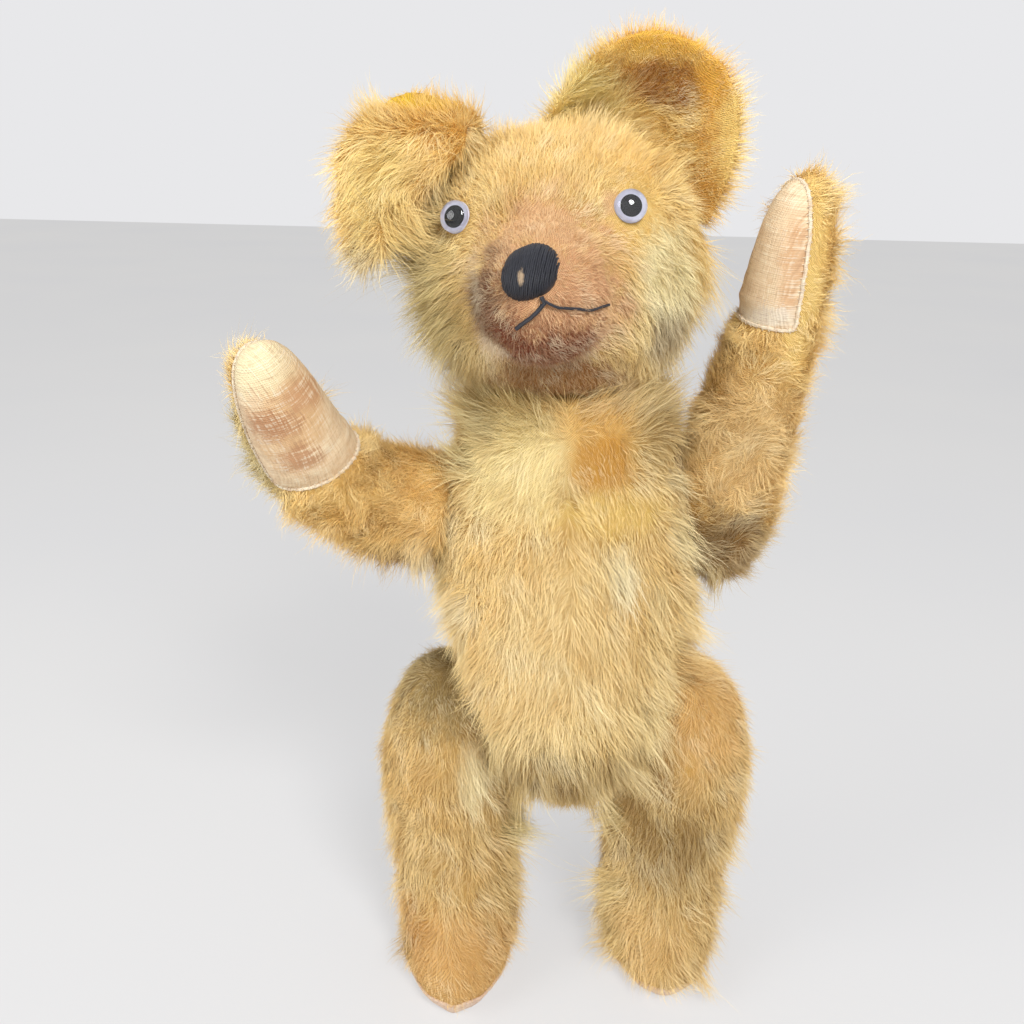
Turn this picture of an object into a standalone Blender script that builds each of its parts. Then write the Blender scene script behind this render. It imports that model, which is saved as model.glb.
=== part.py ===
"""Threadbare mohair teddy bear, standing, with its head turned and both arms up.

A five-way disc-jointed bear: mohair covers stuffed with wood wool, and at the neck, both
shoulders and both hips a pair of hardboard discs drawn together by a bent cotter pin.
Metres in Blender, millimetres in the tables below. +Z is up, the bear faces -Y, and its
left side is +X. The soles stand on Z = 0.
"""

import math

import bmesh
import bpy
from mathutils import Euler, Matrix, Vector
from mathutils.bvhtree import BVHTree

MM = 0.001

# Where the bear's own midline frame lies from the origin, which is under the middle of its box.
SHIFT = Vector((18.33, 20.032, 0.0))

# Cloth and clearances
WALL = 1.6  # mohair backing and cotton pads
GAP = 0.3  # between two pieces that touch
HALF_JOINT = 0.2  # half the gap between the two covers at a joint

# Disc joints
DISC_THICK = 2.5
NECK_DISC = 20.0
SHOULDER_DISC = 14.0
HIP_DISC = 18.0
WASHER_THICK = 1.0
WASHER_RADIUS = 7.0
HOLE = 2.1  # through discs and washers
COVER_HOLE = 2.3
WIRE = 0.8  # radius of the cotter pins' wire
PIN_LEG = 0.95  # from the axis to the middle of each leg of the pin
PIN_HEAD = 13.2  # how far the loop reaches into the limb
PIN_CURL = 9.8  # how far the curled legs reach into the body
PIN_ROOM = 7.6  # radius of the hollow round the loop and the curls

# Joints in the midline frame: a point on the joint's face, and the way the limb lies
NECK = Vector((-4.0, 0.0, 291.0))
HEAD_TILT = math.radians(-5.5)  # the crown leans towards the bear's right
HEAD_TURN = math.radians(-10.0)  # the muzzle turns the same way
SHOULDER_OUT = 51.5
SHOULDER_UP = 232.0
SHOULDER_TILT = math.radians(8.0)
HIP_OUT = 33.0
HIP_UP = 125.0
HIP_TILT = math.radians(-20.0)

# The body leans a little: its middle is at MID_LOW at the crotch and moves by MID_SLOPE a millimetre up
MID_LOW = 4.0
MID_SLOPE = -0.045
CROTCH = 94.0

# Body sections: height, half width, front, back
BODY = (
    (91.0, 13.0, -20.0, 16.0),
    (100.0, 28.0, -38.0, 33.0),
    (122.0, 40.0, -51.0, 43.0),
    (152.0, 52.0, -56.0, 47.0),
    (186.0, 60.0, -53.5, 49.0),
    (222.0, 59.5, -46.5, 48.0),
    (256.0, 56.0, -41.5, 43.0),
    (281.0, 50.0, -37.0, 37.5),
    (300.0, 27.0, -24.0, 24.0),
)

# Head sections above the neck's face: height, half width, front, back
SKULL = (
    (-8.0, 24.0, -22.0, 20.0),
    (3.0, 40.0, -39.0, 33.0),
    (20.0, 53.0, -53.0, 43.0),
    (43.0, 59.5, -58.5, 49.5),
    (66.0, 57.0, -57.5, 49.5),
    (87.0, 42.0, -44.0, 40.0),
    (101.5, 14.0, -15.0, 14.0),
)
MUZZLE_AT = Vector((1.0, -47.0, 43.5))
MUZZLE_RADII = Vector((27.0, 38.0, 28.0))
NOSE_AT = Vector((1.5, -81.5, 54.5))
NOSE_RADII = Vector((9.8, 6.8, 9.2))
MOUTH_WIRE = 0.9
MOUTH_RIGHT = ((5.0, 46.5), (6.0, 44.5), (3.0, 41.5), (-0.5, 39.0), (-4.0, 36.5))
MOUTH_LEFT = ((8.6, 44.0), (11.5, 42.0), (15.5, 40.6), (19.5, 39.6), (24.0, 39.0))

# Eyes: 12 mm glass on wire shanks
EYE_SIDE = 32.0
EYE_UP = 70.5
EYE_RADIUS = 6.0
PUPIL_RADIUS = 3.9
SHANK_HOLE = 2.4

# Ears: each is two layers of mohair sewn round the rim
EAR_CLOTH = 1.2
EAR_HALF_WIDTH = 38.0
EAR_HEIGHT = 57.0
EAR_BOWL = 17.0
EAR_SUNK = 6.0

# Bear's left arm, raised beside the head: middle of each section, half width, half depth
ARM_LEFT = (
    ((61.5, 0.0, 203.0), 12.0, 13.0),
    ((63.5, 0.5, 212.0), 21.5, 22.5),
    ((65.0, 0.0, 232.0), 26.5, 26.5),
    ((70.0, -1.5, 260.0), 24.0, 25.0),
    ((76.0, -6.5, 292.0), 20.5, 21.5),
    ((81.0, -13.5, 324.0), 17.0, 18.0),
    ((83.0, -19.5, 356.0), 16.0, 16.5),
    ((83.5, -22.5, 379.0), 8.5, 9.0),
)
PAD_LEFT_FACES = Vector((-0.92, -0.39, 0.0))
PAD_LEFT_FROM = Vector((80.5, -12.5, 320.0))
PAD_LEFT_ALONG = Vector((0.04, -0.16, 1.0))

# Bear's right arm, held out and bent up: middle, half width across the bend, half depth
ARM_RIGHT = (
    ((-34.0, 0.0, 230.0), 25.0, 24.5),
    ((-60.0, -1.0, 231.0), 26.0, 25.5),
    ((-83.0, -7.0, 235.5), 24.5, 24.0),
    ((-102.0, -19.0, 248.5), 23.0, 22.0),
    ((-112.5, -34.0, 268.0), 20.5, 20.0),
    ((-119.0, -47.5, 293.0), 17.5, 17.5),
    ((-123.5, -58.0, 315.0), 9.5, 9.5),
)
PAD_RIGHT_FACES = Vector((0.60, -0.77, -0.22))
PAD_RIGHT_FROM = Vector((-110.5, -31.0, 261.0))
PAD_RIGHT_ALONG = Vector((-0.25, -0.41, 0.88))
PAD_BACK = 3.0  # from the paw's middle to the pad's side seams

# Leg sections: height, middle outwards from the midline, half width, front, back
LEG = (
    (-6.0, 50.0, 22.0, -55.0, 15.0),
    (5.0, 50.0, 29.0, -66.0, 21.0),
    (19.0, 50.0, 29.5, -64.0, 23.0),
    (40.0, 50.5, 28.5, -37.0, 25.0),
    (68.0, 53.0, 31.5, -34.0, 29.0),
    (98.0, 56.5, 35.0, -40.0, 35.0),
    (125.0, 55.5, 32.0, -41.0, 37.0),
    (144.0, 55.0, 25.5, -33.0, 32.0),
    (156.0, 55.0, 12.5, -18.0, 18.0),
)
FOOT_STEP = {"left": 9.0, "right": -4.0}  # how far back each foot stands
SOLE_RIM = 3.0  # how far the sole pad turns up at its seam


def middle(height):
    """X of the body's middle at this height."""
    return MID_LOW + MID_SLOPE * (height - CROTCH)


# ---------------------------------------------------------------- scene and materials

for old in list(bpy.data.objects):
    bpy.data.objects.remove(old, do_unlink=True)

bear = bpy.data.collections.new("threadbare_teddy_bear")
cutters = bpy.data.collections.new("cutters")
cutters.hide_render = True
bpy.context.scene.collection.children.link(bear)
bpy.context.scene.collection.children.link(cutters)


def material(name, colour, roughness, metallic=0.0, alpha=1.0):
    made = bpy.data.materials.new(name)
    made.use_nodes = True
    surface = made.node_tree.nodes["Principled BSDF"]
    surface.inputs["Base Color"].default_value = (*colour, 1.0)
    surface.inputs["Roughness"].default_value = roughness
    surface.inputs["Metallic"].default_value = metallic
    surface.inputs["Alpha"].default_value = alpha
    made.diffuse_color = (*colour, alpha)
    return made


straw_mohair = material("straw_mohair", (0.50, 0.33, 0.12), 0.9)
tan_mohair = material("tan_mohair", (0.42, 0.25, 0.09), 0.9)
gold_mohair = material("gold_mohair", (0.58, 0.33, 0.08), 0.9)
pad_cotton = material("pad_cotton", (0.66, 0.50, 0.34), 0.85)
wood_wool = material("wood_wool", (0.52, 0.38, 0.20), 0.95)
hardboard = material("hardboard", (0.26, 0.16, 0.09), 0.8)
steel = material("steel", (0.42, 0.40, 0.38), 0.45, 1.0)
clear_glass = material("clear_glass", (0.90, 0.92, 0.95), 0.05, 0.0, 0.3)
eye_black = material("eye_black", (0.010, 0.010, 0.012), 0.25)
eye_lacquer = material("eye_lacquer", (0.62, 0.58, 0.68), 0.35)
nose_thread = material("nose_thread", (0.014, 0.014, 0.018), 0.5)


# ---------------------------------------------------------------- helpers


def place(name, mesh, surface, parent, group=None):
    """A new object under its parent, in the parent's own frame."""
    made = bpy.data.objects.new(name, mesh)
    (group or bear).objects.link(made)
    made.parent = parent
    if surface:
        mesh.materials.clear()
        mesh.materials.append(surface)
    if group is cutters:
        made.hide_render = True
        made.display_type = "WIRE"
    return made


def joint_frame(name, parent, at, rotation):
    """An empty on a joint's face whose own Z is the joint's axis, pointing into the limb."""
    made = bpy.data.objects.new(name, None)
    bear.objects.link(made)
    made.empty_display_size = 0.02
    made.parent = parent
    made.location = at * MM
    made.rotation_euler = rotation
    return made


def local_matrix(frame):
    """From a joint's own frame to the midline frame, in metres."""
    return Matrix.LocRotScale(frame.location, frame.rotation_euler, None)


def loft(sections, sides):
    """A closed cage through sections, each (middle, half-width vector, front vector, back vector)."""
    bm = bmesh.new()
    # Subdividing pulls a ring of this many corners in, so the cage is that much wider.
    swell = 8.0 / (6.0 + 2.0 * math.cos(2.0 * math.pi / sides))
    rings = []
    for centre, half_width, front, back in sections:
        ring = []
        for step in range(sides):
            turn = 2.0 * math.pi * (step + 0.5) / sides
            deep = front if math.sin(turn) < 0.0 else back
            out = half_width * math.cos(turn) + deep * abs(math.sin(turn))
            ring.append(bm.verts.new((centre + out * swell) * MM))
        rings.append(ring)
    for low, high in zip(rings, rings[1:]):
        for step in range(sides):
            after = (step + 1) % sides
            bm.faces.new((low[step], low[after], high[after], high[step]))
    bm.faces.new(list(reversed(rings[0])))
    bm.faces.new(rings[-1])
    bmesh.ops.recalc_face_normals(bm, faces=bm.faces)
    mesh = bpy.data.meshes.new("cage")
    bm.to_mesh(mesh)
    bm.free()
    return mesh


def evaluated_mesh(obj):
    """The object's mesh with its modifiers applied; the object itself is removed."""
    bpy.context.view_layer.update()
    graph = bpy.context.evaluated_depsgraph_get()
    mesh = bpy.data.meshes.new_from_object(obj.evaluated_get(graph))
    bpy.data.objects.remove(obj, do_unlink=True)
    return mesh


def boolean(obj, operation, other):
    cut = obj.modifiers.new(f"{operation.lower()} {other.name}", "BOOLEAN")
    cut.operation = operation
    cut.object = other
    cut.solver = "EXACT"
    return cut


def rounded(cage, inset):
    """The soft form inside a cage: subdivided once, then drawn in by inset millimetres."""
    obj = place("form", cage.copy(), None, None, cutters)
    smooth = obj.modifiers.new("soft form", "SUBSURF")
    smooth.levels = 1
    smooth.render_levels = 1
    # Split the same way at every inset, so that one layer stays clear of the next.
    split = obj.modifiers.new("split", "TRIANGULATE")
    split.quad_method = "FIXED"
    draw_in = obj.modifiers.new("inset", "DISPLACE")
    draw_in.strength = -inset * MM
    draw_in.mid_level = 0.0
    return evaluated_mesh(obj)


def cut_flat(mesh, at, outward):
    """Takes off what lies beyond a plane and closes the cut with a flat face."""
    bm = bmesh.new()
    bm.from_mesh(mesh)
    everything = list(bm.verts) + list(bm.edges) + list(bm.faces)
    bmesh.ops.bisect_plane(
        bm, geom=everything, dist=1e-7, plane_co=at, plane_no=outward, clear_outer=True
    )
    rim = [edge for edge in bm.edges if edge.is_boundary]
    bmesh.ops.holes_fill(bm, edges=rim, sides=0)
    bmesh.ops.recalc_face_normals(bm, faces=bm.faces)
    bm.to_mesh(mesh)
    bm.free()
    return mesh


def carried(mesh, frame):
    """The mesh moved from the midline frame into a joint's own frame."""
    mesh.transform(local_matrix(frame).inverted())
    return mesh


def turned(name, profile, steps, surface, parent, group=None):
    """A turned piece: profile of (radius, height) in millimetres, down its outer side."""
    bm = bmesh.new()
    points = [bm.verts.new((radius * MM, 0.0, height * MM)) for radius, height in profile]
    for first, second in zip(points, points[1:]):
        bm.edges.new((first, second))
    if profile[0][0] > 0.0:
        bm.edges.new((points[-1], points[0]))
    mesh = bpy.data.meshes.new(name)
    bm.to_mesh(mesh)
    bm.free()
    obj = place(name, mesh, surface, parent, group)
    spin = obj.modifiers.new("turn", "SCREW")
    spin.axis = "Z"
    spin.steps = steps
    spin.render_steps = steps
    spin.use_merge_vertices = True
    spin.merge_threshold = 0.00001
    spin.use_smooth_shade = False
    return obj


def ring_profile(inner, outer, low, high):
    return ((outer, high), (outer, low), (inner, low), (inner, high))


def wire(name, points, radius, surface, parent, bevel=1):
    """A round wire through points, with welded caps."""
    curve = bpy.data.curves.new(name, "CURVE")
    curve.dimensions = "3D"
    curve.bevel_depth = radius * MM
    curve.bevel_resolution = bevel
    curve.use_fill_caps = True
    run = curve.splines.new("POLY")
    run.points.add(len(points) - 1)
    for slot, point in zip(run.points, points):
        slot.co = (*(point * MM), 1.0)
    guide = bpy.data.objects.new(name + "_run", curve)
    cutters.objects.link(guide)
    mesh = evaluated_mesh(guide)
    bm = bmesh.new()
    bm.from_mesh(mesh)
    bmesh.ops.remove_doubles(bm, verts=bm.verts, dist=1e-7)
    bmesh.ops.recalc_face_normals(bm, faces=bm.faces)
    bm.to_mesh(mesh)
    bm.free()
    return place(name, mesh, surface, parent)


def shade(obj, angle=50.0):
    obj.data.shade_smooth()
    obj.data.set_sharp_from_angle(angle=math.radians(angle))


def hollow(parent, name, radius, deep, sign):
    """The room in a stuffing for one side of a disc joint, as a cutter."""
    stack = HALF_JOINT + WALL + GAP + DISC_THICK + GAP + WASHER_THICK
    profile = (
        (0.0, deep + GAP + WIRE),
        (PIN_ROOM, deep + GAP + WIRE),
        (PIN_ROOM, stack + GAP),
        (radius + GAP, stack + GAP),
        (radius + GAP, -1.0),
        (0.0, -1.0),
    )
    if sign < 0:
        profile = tuple((r, -z) for r, z in reversed(profile))
    return turned(name, profile, 18, None, parent, cutters)


def disc_joint(name, frame, radius, root_frame):
    """Both discs and washers and the pin of one joint, and the cutters for its hole and its two hollows."""
    disc_low = HALF_JOINT + WALL + GAP
    disc_high = disc_low + DISC_THICK
    washer_low = disc_high + GAP
    washer_high = washer_low + WASHER_THICK
    for side, sign in (("inner", -1), ("outer", 1)):
        parent = frame if sign > 0 else root_frame
        low, high = sorted((sign * disc_low, sign * disc_high))
        disc = turned(
            f"{name}_disc_{side}", ring_profile(HOLE, radius, low, high), 18, hardboard, parent
        )
        low, high = sorted((sign * washer_low, sign * washer_high))
        washer = turned(
            f"{name}_washer_{side}", ring_profile(HOLE, WASHER_RADIUS, low, high), 10, steel, parent
        )
        for piece in (disc, washer):
            if parent is root_frame:
                piece.location = frame.location
                piece.rotation_euler = frame.rotation_euler
    seat = washer_high + GAP + WIRE
    half = (
        (5.3, -seat),
        (6.4, -seat - 1.0),
        (5.0, -PIN_CURL),
        (2.4, -PIN_CURL + 0.5),
        (PIN_LEG, -seat + 0.2),
        (PIN_LEG, seat - 0.6),
        (2.3, seat + 1.2),
        (3.3, seat + 3.4),
        (2.2, PIN_HEAD - 0.8),
    )
    run = [Vector((x, 0.0, z)) for x, z in half]
    run.append(Vector((0.0, 0.0, PIN_HEAD)))
    run += [Vector((-x, 0.0, z)) for x, z in reversed(half)]
    pin = wire(f"{name}_cotter_pin", run, WIRE, steel, root_frame)
    pin.location = frame.location
    pin.rotation_euler = frame.rotation_euler
    shade(pin)
    hole = turned(
        f"{name}_hole", ((0.0, 4.0), (COVER_HOLE, 4.0), (COVER_HOLE, -4.0), (0.0, -4.0)), 12,
        None, root_frame, cutters,
    )
    inner_room = hollow(root_frame, f"{name}_room_inner", radius, PIN_CURL, -1)
    for piece in (hole, inner_room):
        piece.location = frame.location
        piece.rotation_euler = frame.rotation_euler
    outer_room = hollow(frame, f"{name}_room_outer", radius, PIN_HEAD, 1)
    return hole, inner_room, outer_room


def box_cutter(name, parent, matrix, low, high):
    """A box from low to high in the frame of matrix, as a cutter."""
    bm = bmesh.new()
    bmesh.ops.create_cube(bm, size=1.0)
    bmesh.ops.scale(bm, vec=(high - low) * MM, verts=bm.verts)
    bmesh.ops.translate(bm, vec=(high + low) * 0.5 * MM, verts=bm.verts)
    bmesh.ops.transform(bm, matrix=matrix, verts=bm.verts)
    bmesh.ops.recalc_face_normals(bm, faces=bm.faces)
    mesh = bpy.data.meshes.new(name)
    bm.to_mesh(mesh)
    bm.free()
    return place(name, mesh, None, parent, cutters)


# ---------------------------------------------------------------- frames

root = bpy.data.objects.new("bear_origin", None)
bear.objects.link(root)
root.location = SHIFT * MM

head_lie = Matrix.Rotation(HEAD_TILT, 3, "Y") @ Matrix.Rotation(HEAD_TURN, 3, "Z")
neck = joint_frame("neck_axis", root, NECK, head_lie.to_euler("XYZ"))
shoulders = {}
hips = {}
for side, sign in (("left", 1), ("right", -1)):
    at = Vector((middle(SHOULDER_UP) + sign * SHOULDER_OUT, 0.0, SHOULDER_UP))
    lean = sign * (math.pi / 2.0 - SHOULDER_TILT)
    shoulders[side] = joint_frame(f"shoulder_{side}_axis", root, at, Euler((0.0, lean, 0.0)))
    at = Vector((middle(HIP_UP) + sign * HIP_OUT, 0.0, HIP_UP))
    lean = sign * (math.pi / 2.0 - HIP_TILT)
    hips[side] = joint_frame(f"hip_{side}_axis", root, at, Euler((0.0, lean, 0.0)))

cuts = {"neck": disc_joint("neck", neck, NECK_DISC, root)}
for side in ("left", "right"):
    cuts[f"shoulder_{side}"] = disc_joint(f"shoulder_{side}", shoulders[side], SHOULDER_DISC, root)
    cuts[f"hip_{side}"] = disc_joint(f"hip_{side}", hips[side], HIP_DISC, root)


def face_of(frame, inset):
    """A point on a joint's face on the body's side, inset from it, and the way out of the body."""
    matrix = local_matrix(frame)
    out = matrix.to_3x3() @ Vector((0.0, 0.0, 1.0))
    return matrix.translation - out * (HALF_JOINT + inset) * MM, out


# ---------------------------------------------------------------- body

body_cage = loft(
    [
        (
            Vector((middle(height), 0.0, height)),
            Vector((half_width, 0.0, 0.0)),
            Vector((0.0, front, 0.0)),
            Vector((0.0, back, 0.0)),
        )
        for height, half_width, front, back in BODY
    ],
    8,
)


def body_form(inset):
    """The body's soft form, cut flat at its five joints."""
    mesh = rounded(body_cage, inset)
    for frame in (neck, *shoulders.values(), *hips.values()):
        cut_flat(mesh, *face_of(frame, inset))
    return mesh


body_cover = place("body_cover", body_form(0.0), straw_mohair, root)
body_inside = place("body_inside", body_form(WALL), None, root, cutters)
body_stuffing = place("body_stuffing", body_form(WALL + GAP), wood_wool, root)
boolean(body_cover, "DIFFERENCE", body_inside)
for hole, inner_room, outer_room in cuts.values():
    boolean(body_cover, "DIFFERENCE", hole)
    boolean(body_stuffing, "DIFFERENCE", inner_room)
shade(body_cover)
shade(body_stuffing)


# ---------------------------------------------------------------- head

skull_cage = loft(
    [
        (
            Vector((0.0, 0.0, height)),
            Vector((half_width, 0.0, 0.0)),
            Vector((0.0, front, 0.0)),
            Vector((0.0, back, 0.0)),
        )
        for height, half_width, front, back in SKULL
    ],
    8,
)


def head_form(inset):
    """Skull and muzzle as one form in the head's own frame, cut flat at the neck."""
    skull = place("skull", rounded(skull_cage, inset), None, None, cutters)
    bm = bmesh.new()
    bmesh.ops.create_uvsphere(bm, u_segments=12, v_segments=8, radius=1.0)
    bmesh.ops.rotate(bm, matrix=Matrix.Rotation(math.pi / 2.0, 3, "X"), verts=bm.verts)
    bmesh.ops.scale(bm, vec=(MUZZLE_RADII - Vector((inset, inset, inset))) * MM, verts=bm.verts)
    bmesh.ops.translate(bm, vec=MUZZLE_AT * MM, verts=bm.verts)
    muzzle_mesh = bpy.data.meshes.new("muzzle")
    bm.to_mesh(muzzle_mesh)
    bm.free()
    muzzle = place("muzzle", muzzle_mesh, None, None, cutters)
    boolean(skull, "UNION", muzzle)
    mesh = evaluated_mesh(skull)
    bpy.data.objects.remove(muzzle, do_unlink=True)
    floor = Vector((0.0, 0.0, HALF_JOINT + inset)) * MM
    return cut_flat(mesh, floor, Vector((0.0, 0.0, -1.0)))


head_cover = place("head_cover", head_form(0.0), straw_mohair, neck)
head_inside = place("head_inside", head_form(WALL), None, neck, cutters)
head_stuffing = place("head_stuffing", head_form(WALL + GAP), wood_wool, neck)
head_clear = place("head_clear", head_form(-GAP), None, neck, cutters)
boolean(head_cover, "DIFFERENCE", head_inside)
boolean(head_cover, "DIFFERENCE", cuts["neck"][0])
boolean(head_stuffing, "DIFFERENCE", cuts["neck"][2])

skin = bmesh.new()
skin.from_mesh(head_cover.data)
head_tree = BVHTree.FromBMesh(skin)
skin.free()


def on_face(x, z):
    """Where a line from the front meets the head at this width and height, and which way the cloth faces."""
    hit, facing, _, _ = head_tree.ray_cast(Vector((x, -200.0, z)) * MM, Vector((0.0, 1.0, 0.0)))
    return hit / MM, facing


# Eyes: a lacquered back, a black pupil and a clear dome, on a wire shank through the cloth
for side, sign in (("left", 1), ("right", -1)):
    at, facing = on_face(sign * EYE_SIDE, EYE_UP)
    facing = (facing + Vector((0.0, -0.4, 0.0))).normalized()
    socket = joint_frame(f"eye_{side}_seat", neck, at, facing.to_track_quat("Z", "Y").to_euler())
    # The back stands clear of the cloth that curves up beside it.
    lift = 0.9
    back = turned(
        f"eye_{side}_back",
        ((0.0, lift + 1.2), (EYE_RADIUS, lift + 1.0), (EYE_RADIUS, lift), (0.0, lift)),
        16, eye_lacquer, socket,
    )
    pupil_low = lift + 1.2 + GAP
    pupil = turned(
        f"eye_{side}_pupil",
        ((0.0, pupil_low + 0.5), (PUPIL_RADIUS, pupil_low + 0.5), (PUPIL_RADIUS, pupil_low),
         (0.0, pupil_low)),
        16, eye_black, socket,
    )
    glass_low = pupil_low + 0.5 + GAP
    dome = [(0.0, glass_low + 3.2)]
    for step in range(1, 4):
        turn = math.radians(24.0 * step)
        dome.append((EYE_RADIUS * math.sin(turn), glass_low + 3.2 * math.cos(turn)))
    dome += [(EYE_RADIUS, glass_low + 0.4), (EYE_RADIUS, glass_low), (0.0, glass_low)]
    glass = turned(f"eye_{side}_glass", dome, 16, clear_glass, socket)
    shank = wire(
        f"eye_{side}_shank",
        [Vector(point) for point in
         ((1.2, 0.0, lift - GAP), (1.2, 0.0, -5.0), (0.0, 0.0, -7.0), (-1.2, 0.0, -5.0),
          (-1.2, 0.0, lift - GAP))],
        0.5, steel, socket,
    )
    hole = turned(
        f"eye_{side}_hole", ((0.0, 3.0), (SHANK_HOLE, 3.0), (SHANK_HOLE, -9.0), (0.0, -9.0)), 10,
        None, socket, cutters,
    )
    dent = turned(
        f"eye_{side}_dent",
        ((0.0, 9.0), (EYE_RADIUS + GAP, 9.0), (EYE_RADIUS + GAP, lift - GAP), (0.0, lift - GAP)),
        16, None, socket, cutters,
    )
    boolean(head_cover, "DIFFERENCE", hole)
    boolean(head_cover, "DIFFERENCE", dent)
    boolean(head_stuffing, "DIFFERENCE", hole)
    for piece in (back, pupil, glass, shank):
        shade(piece)

# Nose: a ball of satin stitches on the end of the muzzle
bm = bmesh.new()
bmesh.ops.create_uvsphere(bm, u_segments=12, v_segments=8, radius=1.0)
bmesh.ops.rotate(bm, matrix=Matrix.Rotation(math.pi / 2.0, 3, "X"), verts=bm.verts)
bmesh.ops.scale(bm, vec=NOSE_RADII * MM, verts=bm.verts)
bmesh.ops.translate(bm, vec=NOSE_AT * MM, verts=bm.verts)
nose_mesh = bpy.data.meshes.new("nose_stitching")
bm.to_mesh(nose_mesh)
bm.free()
nose = place("nose_stitching", nose_mesh, nose_thread, neck)
boolean(nose, "DIFFERENCE", head_clear)
shade(nose)


def stitch(name, path):
    """A thread laid over the muzzle through these widths and heights."""
    points = []
    for first, second in zip(path, path[1:]):
        for part in (0.0, 0.5):
            x = first[0] + (second[0] - first[0]) * part
            z = first[1] + (second[1] - first[1]) * part
            points.append((x, z))
    points.append(path[-1])
    run = []
    for x, z in points:
        at, facing = on_face(x, z)
        run.append(at + facing * (GAP + MOUTH_WIRE + 0.1))
    thread = wire(name, run, MOUTH_WIRE, nose_thread, neck)
    shade(thread)


stitch("mouth_stitch_right", MOUTH_RIGHT)
stitch("mouth_stitch_left", MOUTH_LEFT)


def ear_layers(side, sheet):
    """The two layers of an ear from one open sheet, trimmed where they meet the head."""
    for layer, sign in (("front", 1.0), ("back", -1.0)):
        ear = place(f"ear_{side}_{layer}", sheet.copy(), gold_mohair, neck)
        apart = ear.modifiers.new("seam between layers", "DISPLACE")
        apart.strength = sign * GAP * 0.5 * MM
        apart.mid_level = 0.0
        cloth = ear.modifiers.new("cloth", "SOLIDIFY")
        cloth.thickness = EAR_CLOTH * MM
        cloth.offset = sign
        boolean(ear, "DIFFERENCE", head_clear)
        shade(ear)


# The bear's left ear stands up as a wide bowl that opens to the front
along = Vector((52.0, 8.0, -32.0)).normalized()
up = Vector((0.52, 0.07, 0.85))
up = (up - along * up.dot(along)).normalized()
forward = along.cross(up).normalized()
ear_middle = Vector((29.0, 6.0, 83.0))
bm = bmesh.new()
centre = bm.verts.new((ear_middle - forward * EAR_BOWL - up * EAR_SUNK) * MM)
rings = []
for reach in (0.45, 0.72, 0.9, 1.0):
    ring = []
    for step in range(11):
        turn = math.pi * step / 10.0
        wide = math.copysign(abs(math.cos(turn)) ** 0.85, math.cos(turn))
        high = math.sin(turn) ** 0.85
        bowl = EAR_BOWL * (1.0 - reach**2)
        curl = 5.0 * reach**4 * (0.4 + 0.6 * max(0.0, wide))
        point = ear_middle + along * (EAR_HALF_WIDTH * reach * wide)
        point += up * (EAR_HEIGHT * reach * high - EAR_SUNK)
        point += forward * (curl - bowl)
        ring.append(bm.verts.new(point * MM))
    rings.append(ring)
for step in range(10):
    bm.faces.new((centre, rings[0][step + 1], rings[0][step]))
for inner, outer in zip(rings, rings[1:]):
    for step in range(10):
        bm.faces.new((inner[step], inner[step + 1], outer[step + 1], outer[step]))
bmesh.ops.recalc_face_normals(bm, faces=bm.faces)
bm.normal_update()
if sum((face.normal.dot(forward) for face in bm.faces)) < 0.0:
    bmesh.ops.reverse_faces(bm, faces=bm.faces)
upright = bpy.data.meshes.new("upright_ear")
bm.to_mesh(upright)
bm.free()
ear_layers("left", upright)

# The bear's right ear has flopped: it rises from its seam, folds over a ridge and hangs beside the cheek
FLOP_BASE = ((-27.0, -1.0, 93.0), (-38.0, 1.0, 82.0), (-46.0, 1.0, 66.0))
FLOP_RIDGE = ((-28.0, -6.0, 105.0), (-54.0, -10.0, 116.0), (-77.0, -17.0, 103.0))
FLOP_RIM = (
    (-30.0, -27.0, 95.0),
    (-46.0, -37.0, 78.0),
    (-61.0, -39.0, 62.0),
    (-72.5, -37.0, 52.0),
    (-81.0, -31.0, 66.0),
    (-83.0, -24.0, 92.0),
)


def along_points(points, part):
    """A point on the smooth run through control points, part from 0 to 1."""
    spread = part * (len(points) - 1)
    index = min(int(spread), len(points) - 2)
    spread -= index
    before = Vector(points[max(index - 1, 0)])
    first = Vector(points[index])
    second = Vector(points[index + 1])
    after = Vector(points[min(index + 2, len(points) - 1)])
    leave = (second - before) * 0.5
    arrive = (after - first) * 0.5
    cube = spread**3
    square = spread**2
    return (
        first * (2.0 * cube - 3.0 * square + 1.0)
        + leave * (cube - 2.0 * square + spread)
        + second * (3.0 * square - 2.0 * cube)
        + arrive * (cube - square)
    )


bm = bmesh.new()
columns = []
for step in range(9):
    part = step / 8.0
    base = along_points(FLOP_BASE, part)
    ridge = along_points(FLOP_RIDGE, part)
    rim = along_points(FLOP_RIM, part)
    bulge = 5.0 * math.sin(math.pi * min(1.0, 0.15 + part))
    column = [
        base,
        (base + ridge) * 0.5 + Vector((-2.0, 3.0, 0.0)),
        ridge + Vector((0.0, 4.0, -3.5)),
        ridge,
        ridge + Vector((0.0, -4.5, -2.5)),
        ridge * 0.62 + rim * 0.38 + Vector((0.0, -4.0 - bulge, 2.0)),
        ridge * 0.28 + rim * 0.72 + Vector((0.0, -1.0 - bulge, 0.0)),
        rim,
    ]
    columns.append([bm.verts.new(point * MM) for point in column])
for first, second in zip(columns, columns[1:]):
    for low in range(7):
        bm.faces.new((first[low], first[low + 1], second[low + 1], second[low]))
bmesh.ops.recalc_face_normals(bm, faces=bm.faces)
bm.normal_update()
hanging = [face for face in bm.faces if face.calc_center_median().y < -0.026]
if sum((face.normal.y for face in hanging)) < 0.0:
    # The front layer is the one that faces the cheek, because the ear is folded over.
    bmesh.ops.reverse_faces(bm, faces=bm.faces)
flopped = bpy.data.meshes.new("flopped_ear")
bm.to_mesh(flopped)
bm.free()
ear_layers("right", flopped)
shade(head_cover)
shade(head_stuffing)


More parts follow.
